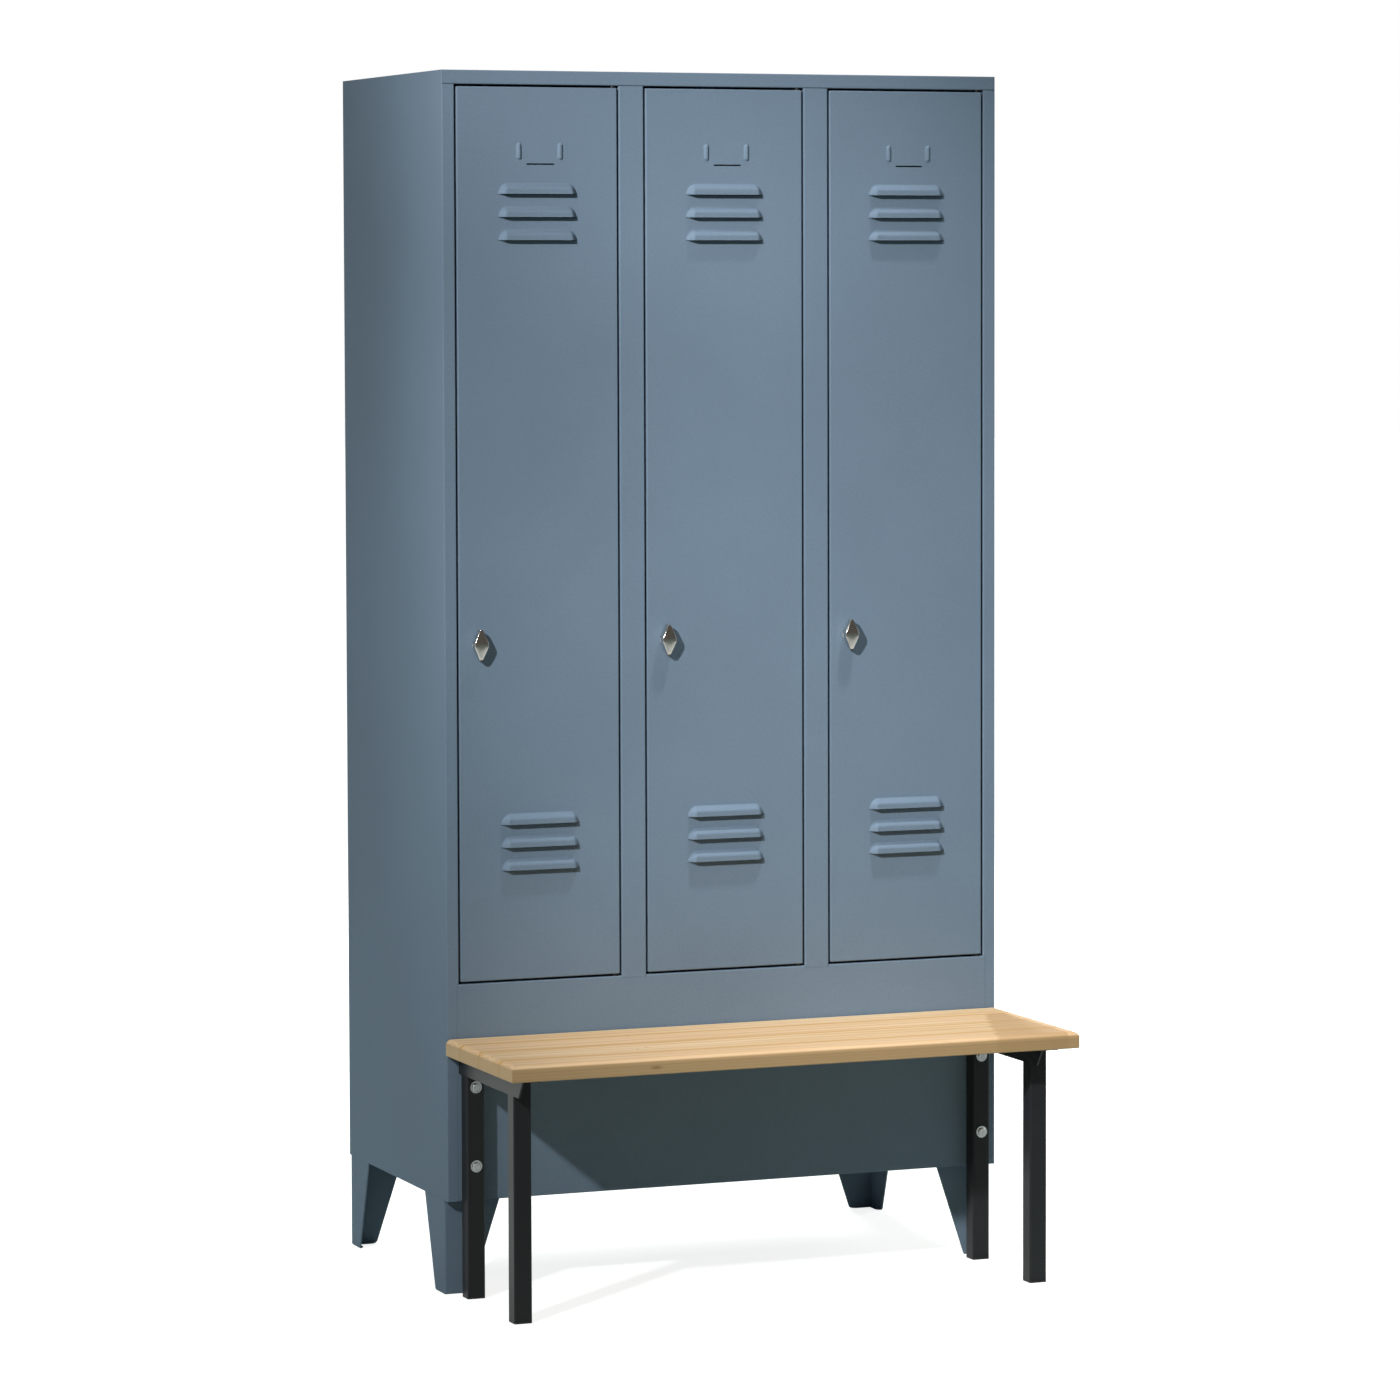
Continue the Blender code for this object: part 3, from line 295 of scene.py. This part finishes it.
class Finish(Wiring):
    """A procedural material being wired up around its Principled shader."""

    def __init__(self, name, colour, roughness, metallic=0.0):
        self.material = bpy.data.materials.new(name)
        self.material.use_nodes = True
        super().__init__(self.material.node_tree)
        self.shader = self.tree.nodes["Principled BSDF"]
        self.set("Base Color", (*colour, 1.0))
        self.set("Roughness", roughness)
        self.set("Metallic", metallic)
        self.place = self.node("ShaderNodeTexCoord").outputs["Object"]

    def set(self, socket, value):
        """A value or another node's output on a socket of the shader."""
        self.feed(self.shader.inputs[socket], value)

    def axes(self):
        """X, Y and Z of the place."""
        return self.node("ShaderNodeSeparateXYZ", {0: self.place}).outputs

    def distance(self, spot):
        """How far the place is from a spot."""
        inputs = {0: self.place, 1: spot}
        return self.node("ShaderNodeVectorMath", inputs, operation="DISTANCE").outputs["Value"]

    def noise(self, scale, detail, roughness=0.5, stretch=None):
        """Noise with features of about 1 / scale metres."""
        place = self.place
        if stretch:
            place = self.node("ShaderNodeMapping", {"Vector": place, "Scale": stretch}).outputs[0]
        inputs = {"Vector": place, "Scale": scale, "Detail": detail, "Roughness": roughness}
        return self.node("ShaderNodeTexNoise", inputs).outputs["Fac"]

    def span(self, value, band, results=(0.0, 1.0)):
        """Stretches a band of values over the results, which hold beyond it."""
        inputs = {
            "Value": value, "From Min": band[0], "From Max": band[1],
            "To Min": results[0], "To Max": results[1],
        }
        return self.node("ShaderNodeMapRange", inputs, clamp=True).outputs[0]

    def rough(self, noise, roughness, changes):
        """Roughness that a noise changes."""
        results = [roughness + change for change in changes]
        self.set("Roughness", self.span(noise, NOISE_BAND, results))

    def over(self, colour, share, mask, paint):
        """A colour with another over it where a mask is 1, as strongly as the share."""
        return self.mix(self.math("MULTIPLY", mask, share), colour, paint)

    def bump(self, height, distance, under=None):
        inputs = {"Height": height, "Distance": distance}
        if under:
            inputs["Normal"] = under
        return self.node("ShaderNodeBump", inputs).outputs[0]


def shade(colour, share):
    """A colour made darker or lighter."""
    return tuple(min(1.0, share * part) for part in colour)


def powder_coat(name, colour, roughness, gloss):
    """Baked paint with an orange-peel skin, faint cloudiness and fine specks."""
    finish = Finish(name, colour, roughness)
    cloud = finish.noise(**CLOUD)
    grain = finish.noise(**GRAIN)
    tints = [shade(colour, share) for share in CLOUD_SHARES]
    tint = finish.mix(finish.span(cloud, NOISE_BAND), *tints)
    specks = [(share, share, share) for share in GRAIN_SHARES]
    speck = finish.mix(finish.span(grain, GRAIN_BAND), *specks)
    finish.set("Base Color", finish.mix(1.0, tint, speck, "MULTIPLY"))
    finish.set("Specular IOR Level", gloss)
    finish.rough(cloud, roughness, CLOUD_ROUGHNESS)
    wave = finish.bump(finish.noise(**WAVE), WAVE_HEIGHT)
    finish.set("Normal", finish.bump(finish.noise(**PEEL), PEEL_HEIGHT, under=wave))
    return finish.material


def metal(name, colour, roughness, scratch):
    """Plated metal with fine scratches and uneven polish."""
    finish = Finish(name, colour, roughness, 1.0)
    scratches = finish.noise(**SCRATCHES)
    deep = shade(colour, SCRATCH_SHARE)
    finish.set("Base Color", finish.mix(finish.span(scratches, NOISE_BAND), deep, colour))
    finish.rough(finish.noise(**POLISH), roughness, POLISH_ROUGHNESS)
    finish.set("Normal", finish.bump(scratches, scratch))
    return finish.material


def plastic(name, colour, roughness):
    """Moulded plastic with a fine grain."""
    finish = Finish(name, colour, roughness)
    grain = finish.noise(**MOULD)
    finish.rough(grain, roughness, MOULD_ROUGHNESS)
    finish.set("Normal", finish.bump(grain, MOULD_HEIGHT))
    return finish.material


def staves(finish, y):
    """The middle of each stave's rings, 1 on every other stave, and 1 on the glue lines."""
    middle, tint, glue = RING_MIDDLES[0], 0.0, None
    wander = finish.math(
        "MULTIPLY_ADD", finish.noise(**WANDER), WANDER_REACH, -WANDER_REACH / 2
    )
    for line, before, after in zip(GLUE_LINES, RING_MIDDLES, RING_MIDDLES[1:]):
        beyond = finish.math("LESS_THAN", y, line)
        middle = finish.math("MULTIPLY_ADD", beyond, after - before, middle)
        tint = finish.math("SUBTRACT", beyond, tint)
        off = finish.math("SUBTRACT", finish.math("ADD", y, wander), line)
        band = finish.fade(finish.math("ABSOLUTE", off), *GLUE_FADE)
        glue = finish.math("MAXIMUM", band, glue) if glue else band
    return middle, tint, glue


def late_wood(finish, y, z, middle):
    """1 on the dark part of each growth ring."""
    sway = finish.math("SUBTRACT", finish.noise(**SWAY), NOISE_MIDDLE)
    sway = finish.math("MULTIPLY", sway, SWAY_REACH)
    aside = finish.math("ADD", finish.math("SUBTRACT", y, middle), sway)
    below = finish.math("SUBTRACT", z, SEAT_TOP - RING_DEPTH)
    square = finish.math("ADD", finish.math("MULTIPLY", aside, aside),
                         finish.math("MULTIPLY", below, below))
    ring = finish.math("MULTIPLY", finish.math("SQRT", square), 1 / RING_WIDTH)
    ring = finish.math("FRACT", ring)
    return finish.math("MULTIPLY", finish.fade(ring, *LATE_RISE), finish.fade(ring, *LATE_FALL))


def dark_patch(finish, x, y):
    """1 on the darker patch near the seat's right end."""
    edge = finish.math("SUBTRACT", y, PATCH_Y)
    edge = finish.math("MULTIPLY_ADD", edge, PATCH_SLANT, PATCH_X)
    past = finish.math("SUBTRACT", x, edge)
    past = finish.math("MULTIPLY_ADD", finish.noise(**RAGGED), RAGGED_REACH, past)
    patch = finish.math("MULTIPLY", finish.fade(past, *PATCH_FADE), finish.fade(x, *PATCH_END))
    return finish.math("MULTIPLY", patch, finish.math("LESS_THAN", y, GLUE_LINES[0]))


def knots(finish, colour):
    """A colour with small dark specks and one drawn-out knot."""
    for spot in SPECKS:
        speck = finish.fade(finish.distance(spot), *SPECK_FADE)
        colour = finish.over(colour, SPECK_SHARE, speck, PINE_KNOT)
    inputs = {0: finish.place, 1: KNOT}
    away = finish.node("ShaderNodeVectorMath", inputs, operation="SUBTRACT").outputs[0]
    inputs = {"Vector": away, "Rotation": KNOT_TURN, "Scale": KNOT_STRETCH}
    away = finish.node("ShaderNodeMapping", inputs).outputs[0]
    away = finish.node("ShaderNodeVectorMath", {0: away}, operation="LENGTH").outputs["Value"]
    return finish.over(colour, KNOT_SHARE, finish.fade(away, *KNOT_FADE), PINE_KNOT)


def pine(name):
    """Glued staves of pine along X, with growth rings, darker glue lines, small knots, and
    painted shade on the front face.
    """
    finish = Finish(name, PINE, PINE_ROUGHNESS[0])
    x, y, z = finish.axes()
    middle, tint, glue = staves(finish, y)
    late = late_wood(finish, y, z, middle)
    fibres = finish.noise(**FIBRES)
    ends = finish.fade(finish.math("ABSOLUTE", x), *END_FADE)
    streaks = finish.fade(finish.noise(**STREAKS), *STREAK_FADE)
    colour = finish.mix(streaks, PINE, PINE_WARM)
    for share, mask, paint in (
        (ROSY_SHARE, tint, PINE_ROSY),
        (LATE_SHARE, late, PINE_LINE),
        (GLUE_SHARE, glue, PINE_GLUE),
        (PATCH_SHARE, dark_patch(finish, x, y), PINE_DARK),
        (FIBRE_SHARE, finish.fade(fibres, *FIBRE_FADE), PINE_LINE),
        (END_SHARE, ends, PINE_END),
        # Painted shade: the seat's front face darkened for the weaker light it gets
        (FRONT_SHADE_SHARE, finish.fade(y, *FRONT_SHADE_FADE), PINE_FRONT_SHADE),
    ):
        colour = finish.over(colour, share, mask, paint)
    finish.set("Base Color", knots(finish, colour))
    finish.set("Specular IOR Level", PINE_GLOSS)
    finish.set("Roughness", finish.span(fibres, NOISE_BAND, PINE_ROUGHNESS))
    grooves = finish.math("MULTIPLY_ADD", late, LATE_HEIGHT, fibres)
    finish.set("Normal", finish.bump(grooves, PINE_HEIGHT))
    return finish.material


def finishes():
    """The object's materials by name."""
    return {
        "paint": powder_coat("grey_paint", PAINT, roughness=0.42, gloss=0.005),
        "black": powder_coat("black_paint", BLACK, roughness=0.36, gloss=0.16),
        "zinc": metal("zinc", ZINC, roughness=0.26, scratch=0.00003),
        "steel": metal("oiled_steel", STEEL, roughness=0.45, scratch=0.00003),
        "chrome": metal("chrome", CHROME, roughness=0.13, scratch=0.000005),
        "cap": plastic("black_plastic", PLASTIC, roughness=0.5),
        "wood": pine("pine"),
    }


def dress_nodes(made):
    """Gives each carried-over node its material."""
    kinds = {
        "seat_board": "wood", "bench_leg": "black", "bench_rail": "black", "leg_cap": "cap",
        "knob": "chrome", "hinge_pin": "steel", "bench_bolt": "zinc", "seat_screw": "zinc",
        "lock_nut": "zinc", "cam": "zinc", "coat_rail": "zinc",
    }
    for name, node in NODES.items():
        chosen = next((kind for start, kind in kinds.items() if name.startswith(start)), "paint")
        for slot in node.material_slots:
            slot.material = made[chosen]


def add_piece(name, bm, material, body, node):
    """A new smooth piece that stands for a node and moves with its body."""
    mesh = bpy.data.meshes.new(name)
    for face in bm.faces:
        face.smooth = True
    bm.to_mesh(mesh)
    bm.free()
    mesh.materials.append(material)
    piece = bpy.data.objects.new(name, mesh)
    bpy.context.scene.collection.objects.link(piece)
    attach(piece, body)
    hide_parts(node)
    return piece


def smooth_step(value):
    value = min(max(value, 0.0), 1.0)
    return value * value * (3 - 2 * value)


def press_crown(along, shape):
    """How high a pressing's outline is: level, and a quarter of an oval at each end."""
    length, height, end = shape[:3]
    inner = max(abs(along) - (length / 2 - end), 0.0) / end
    return height * math.sqrt(max(1 - inner * inner, 0.0))


def press_height(along, up, shape):
    """How far a pressing stands out at a place on it: slopes up to a level crest."""
    length, height, end, depth, rise_width, end_width = shape
    share = min(up / height, 1.0)
    reach = length / 2 - end + end * math.sqrt(1 - share * share)
    first = min(max((press_crown(along, shape) - up) / rise_width, 0.0), 1.0)
    second = min(max((reach - abs(along)) / end_width, 0.0), 1.0)
    short = (1 - first) ** SLOPE_POWER + (1 - second) ** SLOPE_POWER
    both = 1 - short ** (1 / SLOPE_POWER)
    return depth * (SOFT_SHARE * smooth_step(both) + STRAIGHT_SHARE * max(both, 0.0))


def press(bm, shape, grid, place):
    """A pressing's smooth skin. Gives the edges of the hole it leaves in the sheet."""
    length, height, end = shape[:3]
    turns, rows = grid
    spots = [length / 2 - end + end * math.sin(math.pi / 2 * k / turns) for k in range(turns + 1)]
    spots = [-spot for spot in reversed(spots)] + [0.0] + spots
    columns = []
    for along in spots:
        crown = press_crown(along, shape)
        if crown < CLOSED_SHARE * height:
            columns.append([bm.verts.new(place(along, 0.0, 0.0))] * (rows + 1))
            continue
        heights = [crown * row / rows for row in range(rows + 1)]
        columns.append([
            bm.verts.new(place(along, up, press_height(along, up, shape) if row < rows else 0.0))
            for row, up in enumerate(heights)
        ])
    for left, right in zip(columns, columns[1:]):
        for row in range(rows):
            corners = [left[row], right[row], right[row + 1], left[row + 1]]
            corners = list(dict.fromkeys(corners))
            if len(corners) > 2:
                bm.faces.new(corners)
    rim = [column[rows] for column in columns]
    low = [bm.verts.new(place(side * (length / 2 - SLIT), -SLIT, 0.0)) for side in (1, -1)]
    loop = rim + low
    pairs = zip(loop, loop[1:] + loop[:1])
    return [bm.edges.get(pair) or bm.edges.new(pair) for pair in pairs]


def ring_edges(bm, points):
    """A closed loop of new edges."""
    corners = [bm.verts.new(point) for point in points]
    return [bm.edges.new(pair) for pair in zip(corners, corners[1:] + corners[:1])]


def circle(radius, steps):
    angles = [math.tau * step / steps for step in range(steps)]
    return [(radius * math.cos(angle), radius * math.sin(angle)) for angle in angles]


def round_slot(length, width, steps):
    """A slot's outline, with as many steps round each end."""
    points = []
    for side in (1, -1):
        for step in range(steps + 1):
            angle = math.pi * (step / steps - side / 2)
            along = side * (length - width) / 2 + width / 2 * math.cos(angle)
            points.append((along, width / 2 * math.sin(angle)))
    return points


def end_face(bm, axis, pick):
    """The face that lies lowest or highest along an axis."""
    return pick(bm.faces, key=lambda face: getattr(face.calc_center_median(), axis))


def refill(bm, face, loops):
    """Fills a flat face again, leaving the loops open."""
    edges = list(face.edges)
    normal = face.normal.copy()
    bmesh.ops.delete(bm, geom=[face], context="FACES_ONLY")
    for loop in loops:
        edges += loop
    bmesh.ops.triangle_fill(bm, edges=edges, use_beauty=True, normal=normal)


def door_pan(low, high):
    """A folded pan with its returns behind, still without holes."""
    bm = bmesh.new()
    size = Vector((high.x - low.x, PAN_DEPTH, high.z - low.z))
    middle = Vector(((low.x + high.x) / 2, FRONT + PAN_DEPTH / 2, (low.z + high.z) / 2))
    matrix = Matrix.Translation(middle) @ Matrix.Diagonal((*size, 1))
    bmesh.ops.create_cube(bm, size=1.0, matrix=matrix)
    rear = end_face(bm, "y", max)
    bmesh.ops.inset_region(bm, faces=[rear], thickness=PAN_RETURN)
    bmesh.ops.delete(bm, geom=[rear], context="FACES")
    inner = [edge for edge in bm.edges if not edge.is_boundary]
    folds = [edge for edge in inner if edge.calc_face_angle() > FOLD_ANGLE]
    bmesh.ops.bevel(
        bm, geom=folds, offset=BEND, segments=BEND_STEPS, profile=0.5, affect="EDGES"
    )
    bm.normal_update()
    return bm


def louvre_holes(bm, middle, low, high):
    """The louvres in rows near a door's top and bottom."""
    holes = []
    for row in range(LOUVRE_ROWS):
        step = row * LOUVRE_PITCH
        for lip in (high.z - UPPER_DROP - step, low.z + LOWER_RISE + step):
            def upright(along, up, out, lip=lip):
                return (middle + along, FRONT - out, lip + up)
            holes.append(press(bm, LOUVRE, LOUVRE_GRID, upright))
    return holes


def card_holes(bm, card, top):
    """The two tabs that hold a name card, and the slot below it."""
    holes = []
    for side in (-1, 1):
        def sideways(along, up, out, lip=card + side * TAB_SPACING / 2):
            return (lip - up, FRONT - out, top - TAB_DROP + along)
        holes.append(press(bm, TAB, TAB_GRID, sideways))
    outline = round_slot(*SLOT_SIZE, SLOT_STEPS)
    holes.append(ring_edges(bm, [(card + u, FRONT, top - SLOT_DROP + v) for u, v in outline]))
    return holes


def door_skin(low, high):
    """The outer skin of a folded pan door with its louvres, card tabs, slot and round holes."""
    bm = door_pan(low, high)
    middle = (low.x + high.x) / 2
    front = end_face(bm, "y", min)
    bottom = end_face(bm, "z", min)
    top = end_face(bm, "z", max)
    pin = high.x - PIN_INSET, FRONT + PIN_INSET
    around = circle(PIN_HOLE, PIN_STEPS)
    for face, height in ((bottom, low.z), (top, high.z)):
        hole = ring_edges(bm, [(pin[0] + u, pin[1] + v, height) for u, v in around])
        refill(bm, face, [hole])
    holes = louvre_holes(bm, middle, low, high) + card_holes(bm, middle + CARD_OFFSET, high.z)
    knob = low.x + KNOB_INSET
    around = circle(SPINDLE_HOLE, SPINDLE_STEPS)
    holes.append(ring_edges(bm, [(knob + u, FRONT, KNOB_HEIGHT + v) for u, v in around]))
    refill(bm, front, holes)
    bmesh.ops.recalc_face_normals(bm, faces=bm.faces)
    bm.normal_update()
    for edge in bm.edges:
        flat = any(max(abs(part) for part in face.normal) > FLAT for face in edge.link_faces)
        edge.smooth = not (edge.is_boundary or flat)
    skin = [face for face in bm.faces if face.calc_center_median().y < FRONT + SHEET]
    if sum(face.calc_area() * face.normal.y for face in skin) > 0:
        bmesh.ops.reverse_faces(bm, faces=bm.faces)
    return bm


def doors(material):
    """The pressed doors, which replace the plainer ones of the frame."""
    for number in COMPARTMENTS:
        node = f"door_{number}"
        low, high = (Vector(corner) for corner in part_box(node))
        piece = add_piece(f"{node}_pressed", door_skin(low, high), material, node, node)
        wall = piece.modifiers.new("sheet", "SOLIDIFY")
        wall.thickness = SHEET
        wall.offset = -1.0
        wall.use_even_offset = True


def lozenge(share):
    """The knob's outline with rounded corners, drawn in to a share of its size."""
    corners = [Vector(corner) for corner in (
        (KNOB_TIP, KNOB_TALL), (-KNOB_TIP, KNOB_TALL), (-KNOB_WIDTH, KNOB_SIDE),
        (-KNOB_WIDTH, -KNOB_SIDE), (-KNOB_TIP, -KNOB_TALL), (KNOB_TIP, -KNOB_TALL),
        (KNOB_WIDTH, -KNOB_SIDE), (KNOB_WIDTH, KNOB_SIDE),
    )]
    points = []
    for before, here, after in zip(corners[-1:] + corners, corners, corners[1:] + corners[:1]):
        first = here + (before - here).normalized() * KNOB_CORNER
        last = here + (after - here).normalized() * KNOB_CORNER
        for step in range(CORNER_STEPS + 1):
            part = step / CORNER_STEPS
            bend = first.lerp(here, part).lerp(here.lerp(last, part), part)
            points.append(bend * share)
        onward = after + (here - after).normalized() * KNOB_CORNER
        points.append(last.lerp(onward, 0.5) * share)
    return points


def closed_skin(bm, loops):
    """Faces from each loop of points to the next, and one over either end."""
    loops = [[bm.verts.new(point) for point in loop] for loop in loops]
    for outer, inner in zip(loops, loops[1:]):
        for k in range(len(outer)):
            bm.faces.new((outer[k - 1], outer[k], inner[k], inner[k - 1]))
    bm.faces.new(loops[0])
    bm.faces.new(loops[-1])


def grip_rings():
    """The lozenge grip's rings, each as points with how far they stand out of the door."""
    crest = KNOB_REACH - KNOB_PILLOW
    rings = [(share, KNOB_BACK + out) for share, out in BACK_RINGS]
    rings += [(share, crest + out) for share, out in RIM_RINGS]
    loops = [[(u, v, out) for u, v in lozenge(share)] for share, out in rings]
    for step in range(1, FACE_RINGS):
        part = 1 - step / FACE_RINGS
        loop = []
        for u, v in lozenge(KNOB_FACE * part):
            oval = min(math.hypot(u / KNOB_WIDTH, v / KNOB_TALL) / KNOB_FACE, 1.0)
            mixed = part ** 3 + (1 - part ** 2) * oval
            loop.append((u, v, crest + KNOB_PILLOW * (1 - mixed ** 2)))
        loops.append(loop)
    return loops


def knobs(material):
    """Turn handles: a neck and a lozenge grip with a light rim round a pillowed face."""
    neck = [[(u, v, out) for u, v in circle(radius, NECK_STEPS)] for radius, out in NECK]
    grip = grip_rings()
    for number in COMPARTMENTS:
        node = f"knob_{number}"
        bm = bmesh.new()
        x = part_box(f"door_{number}")[0][0] + KNOB_INSET

        def place(u, v, out):
            rise = out - KNOB_BACK - KNOB_BEVEL
            if rise > 0:
                out -= rise * KNOB_ARCH * (v / KNOB_TALL) ** 2
            return (x + u, FRONT - out, KNOB_HEIGHT + v)

        for rings in (grip, neck):
            closed_skin(bm, [[place(*spot) for spot in ring] for ring in rings])
        bmesh.ops.recalc_face_normals(bm, faces=bm.faces)
        for edge in bm.edges:
            edge.smooth = not edge.is_manifold or edge.calc_face_angle() < CREASE_ANGLE
        add_piece(f"{node}_handle", bm, material, f"latch_{number}", node)


def camera():
    """The camera at the photograph's viewpoint."""
    yaw, pitch, roll = (math.radians(angle) for angle in (YAW, PITCH, ROLL))
    forward = Vector((
        math.sin(yaw) * math.cos(pitch), math.cos(yaw) * math.cos(pitch), math.sin(pitch),
    ))
    right = Vector((math.cos(yaw), -math.sin(yaw), 0.0))
    up = right.cross(forward)
    across = right * math.cos(roll) + up * math.sin(roll)
    upright = up * math.cos(roll) - right * math.sin(roll)
    data = bpy.data.cameras.new("camera")
    data.sensor_width = SENSOR_WIDTH
    data.lens = FOCAL_PIXELS / IMAGE * SENSOR_WIDTH
    data.shift_y = SHIFT_Y
    data.clip_end = CLIP_END
    item = bpy.data.objects.new("camera", data)
    axes = Matrix((across, upright, -forward)).transposed().to_4x4()
    item.matrix_world = Matrix.Translation(EYE) @ axes
    bpy.context.scene.collection.objects.link(item)
    bpy.context.scene.camera = item


def lamp(name, kind, place, aim, watts):
    """A lamp at a place that points at its aim."""
    data = bpy.data.lights.new(name, kind)
    data.energy = watts
    item = bpy.data.objects.new(name, data)
    item.location = place
    item.rotation_euler = (Vector(aim) - Vector(place)).to_track_quat("-Z", "Y").to_euler()
    bpy.context.scene.collection.objects.link(item)
    return data


def lights():
    """Four spots and two soft boxes."""
    for name, (place, aim, half, watts) in SPOTS.items():
        data = lamp(name, "SPOT", place, aim, watts)
        data.spot_size = 2 * half
        data.spot_blend = 1.0
        data.shadow_soft_size = SPOT_RADIUS
    for name, (place, aim, watts) in BOXES.items():
        data = lamp(name, "AREA", place, aim, watts)
        data.shape = "SQUARE"
        data.size = BOX_SIZE


def world():
    """A faint even fill, and a sky that the camera sees as white and metal sees as a studio."""
    made = bpy.data.worlds.new("world")
    made.use_nodes = True
    made.node_tree.nodes.clear()
    bpy.context.scene.world = made
    sky = Wiring(made.node_tree)
    direct, shiny = sky.rays()
    direction = sky.node("ShaderNodeTexCoord").outputs["Generated"]
    _, y, z = sky.node("ShaderNodeSeparateXYZ", {0: direction}).outputs
    darker = sky.math("MAXIMUM", sky.fade(z, *CEILING_FADE), sky.fade(y, *FRONT_FADE))
    colour = sky.mix(sky.math("MULTIPLY", darker, shiny), WHITE, CEILING)
    white = sky.node("ShaderNodeBackground", {"Color": colour}).outputs[0]
    inputs = {"Color": (*FILL_COLOUR, 1.0), "Strength": FILL_STRENGTH}
    fill = sky.node("ShaderNodeBackground", inputs).outputs[0]
    inputs = {0: sky.math("MAXIMUM", direct, shiny), 1: fill, 2: white}
    mixed = sky.node("ShaderNodeMixShader", inputs).outputs[0]
    sky.node("ShaderNodeOutputWorld", {0: mixed})
    bpy.context.scene.view_settings.view_transform = "Standard"


def floor():
    """A plain floor that the camera sees nearly as white as the background."""
    bm = bmesh.new()
    bmesh.ops.create_grid(bm, x_segments=1, y_segments=1, size=FLOOR_REACH)
    mesh = bpy.data.meshes.new("floor")
    bm.to_mesh(mesh)
    bm.free()
    item = bpy.data.objects.new("floor", mesh)
    bpy.context.scene.collection.objects.link(item)
    finish = Finish("floor", FLOOR_COLOUR, FLOOR_ROUGHNESS)
    finish.set("Specular IOR Level", 0.0)
    direct, shiny = finish.rays()
    _, y, _ = finish.axes()
    shine = finish.span(y, SHINE_DEPTHS, SHINE)
    seen = finish.math("MAXIMUM", direct, finish.math("MULTIPLY", shiny, shine))
    glow = finish.span(finish.distance((0.0, 0.0, 0.0)), GLOW_RADII, GLOW)
    finish.set("Emission Color", (*WHITE, 1.0))
    finish.set("Emission Strength", finish.math("MULTIPLY", seen, glow))
    mesh.materials.append(finish.material)


materials = finishes()
dress_nodes(materials)
doors(materials["paint"])
knobs(materials["chrome"])
camera()
lights()
world()
floor()
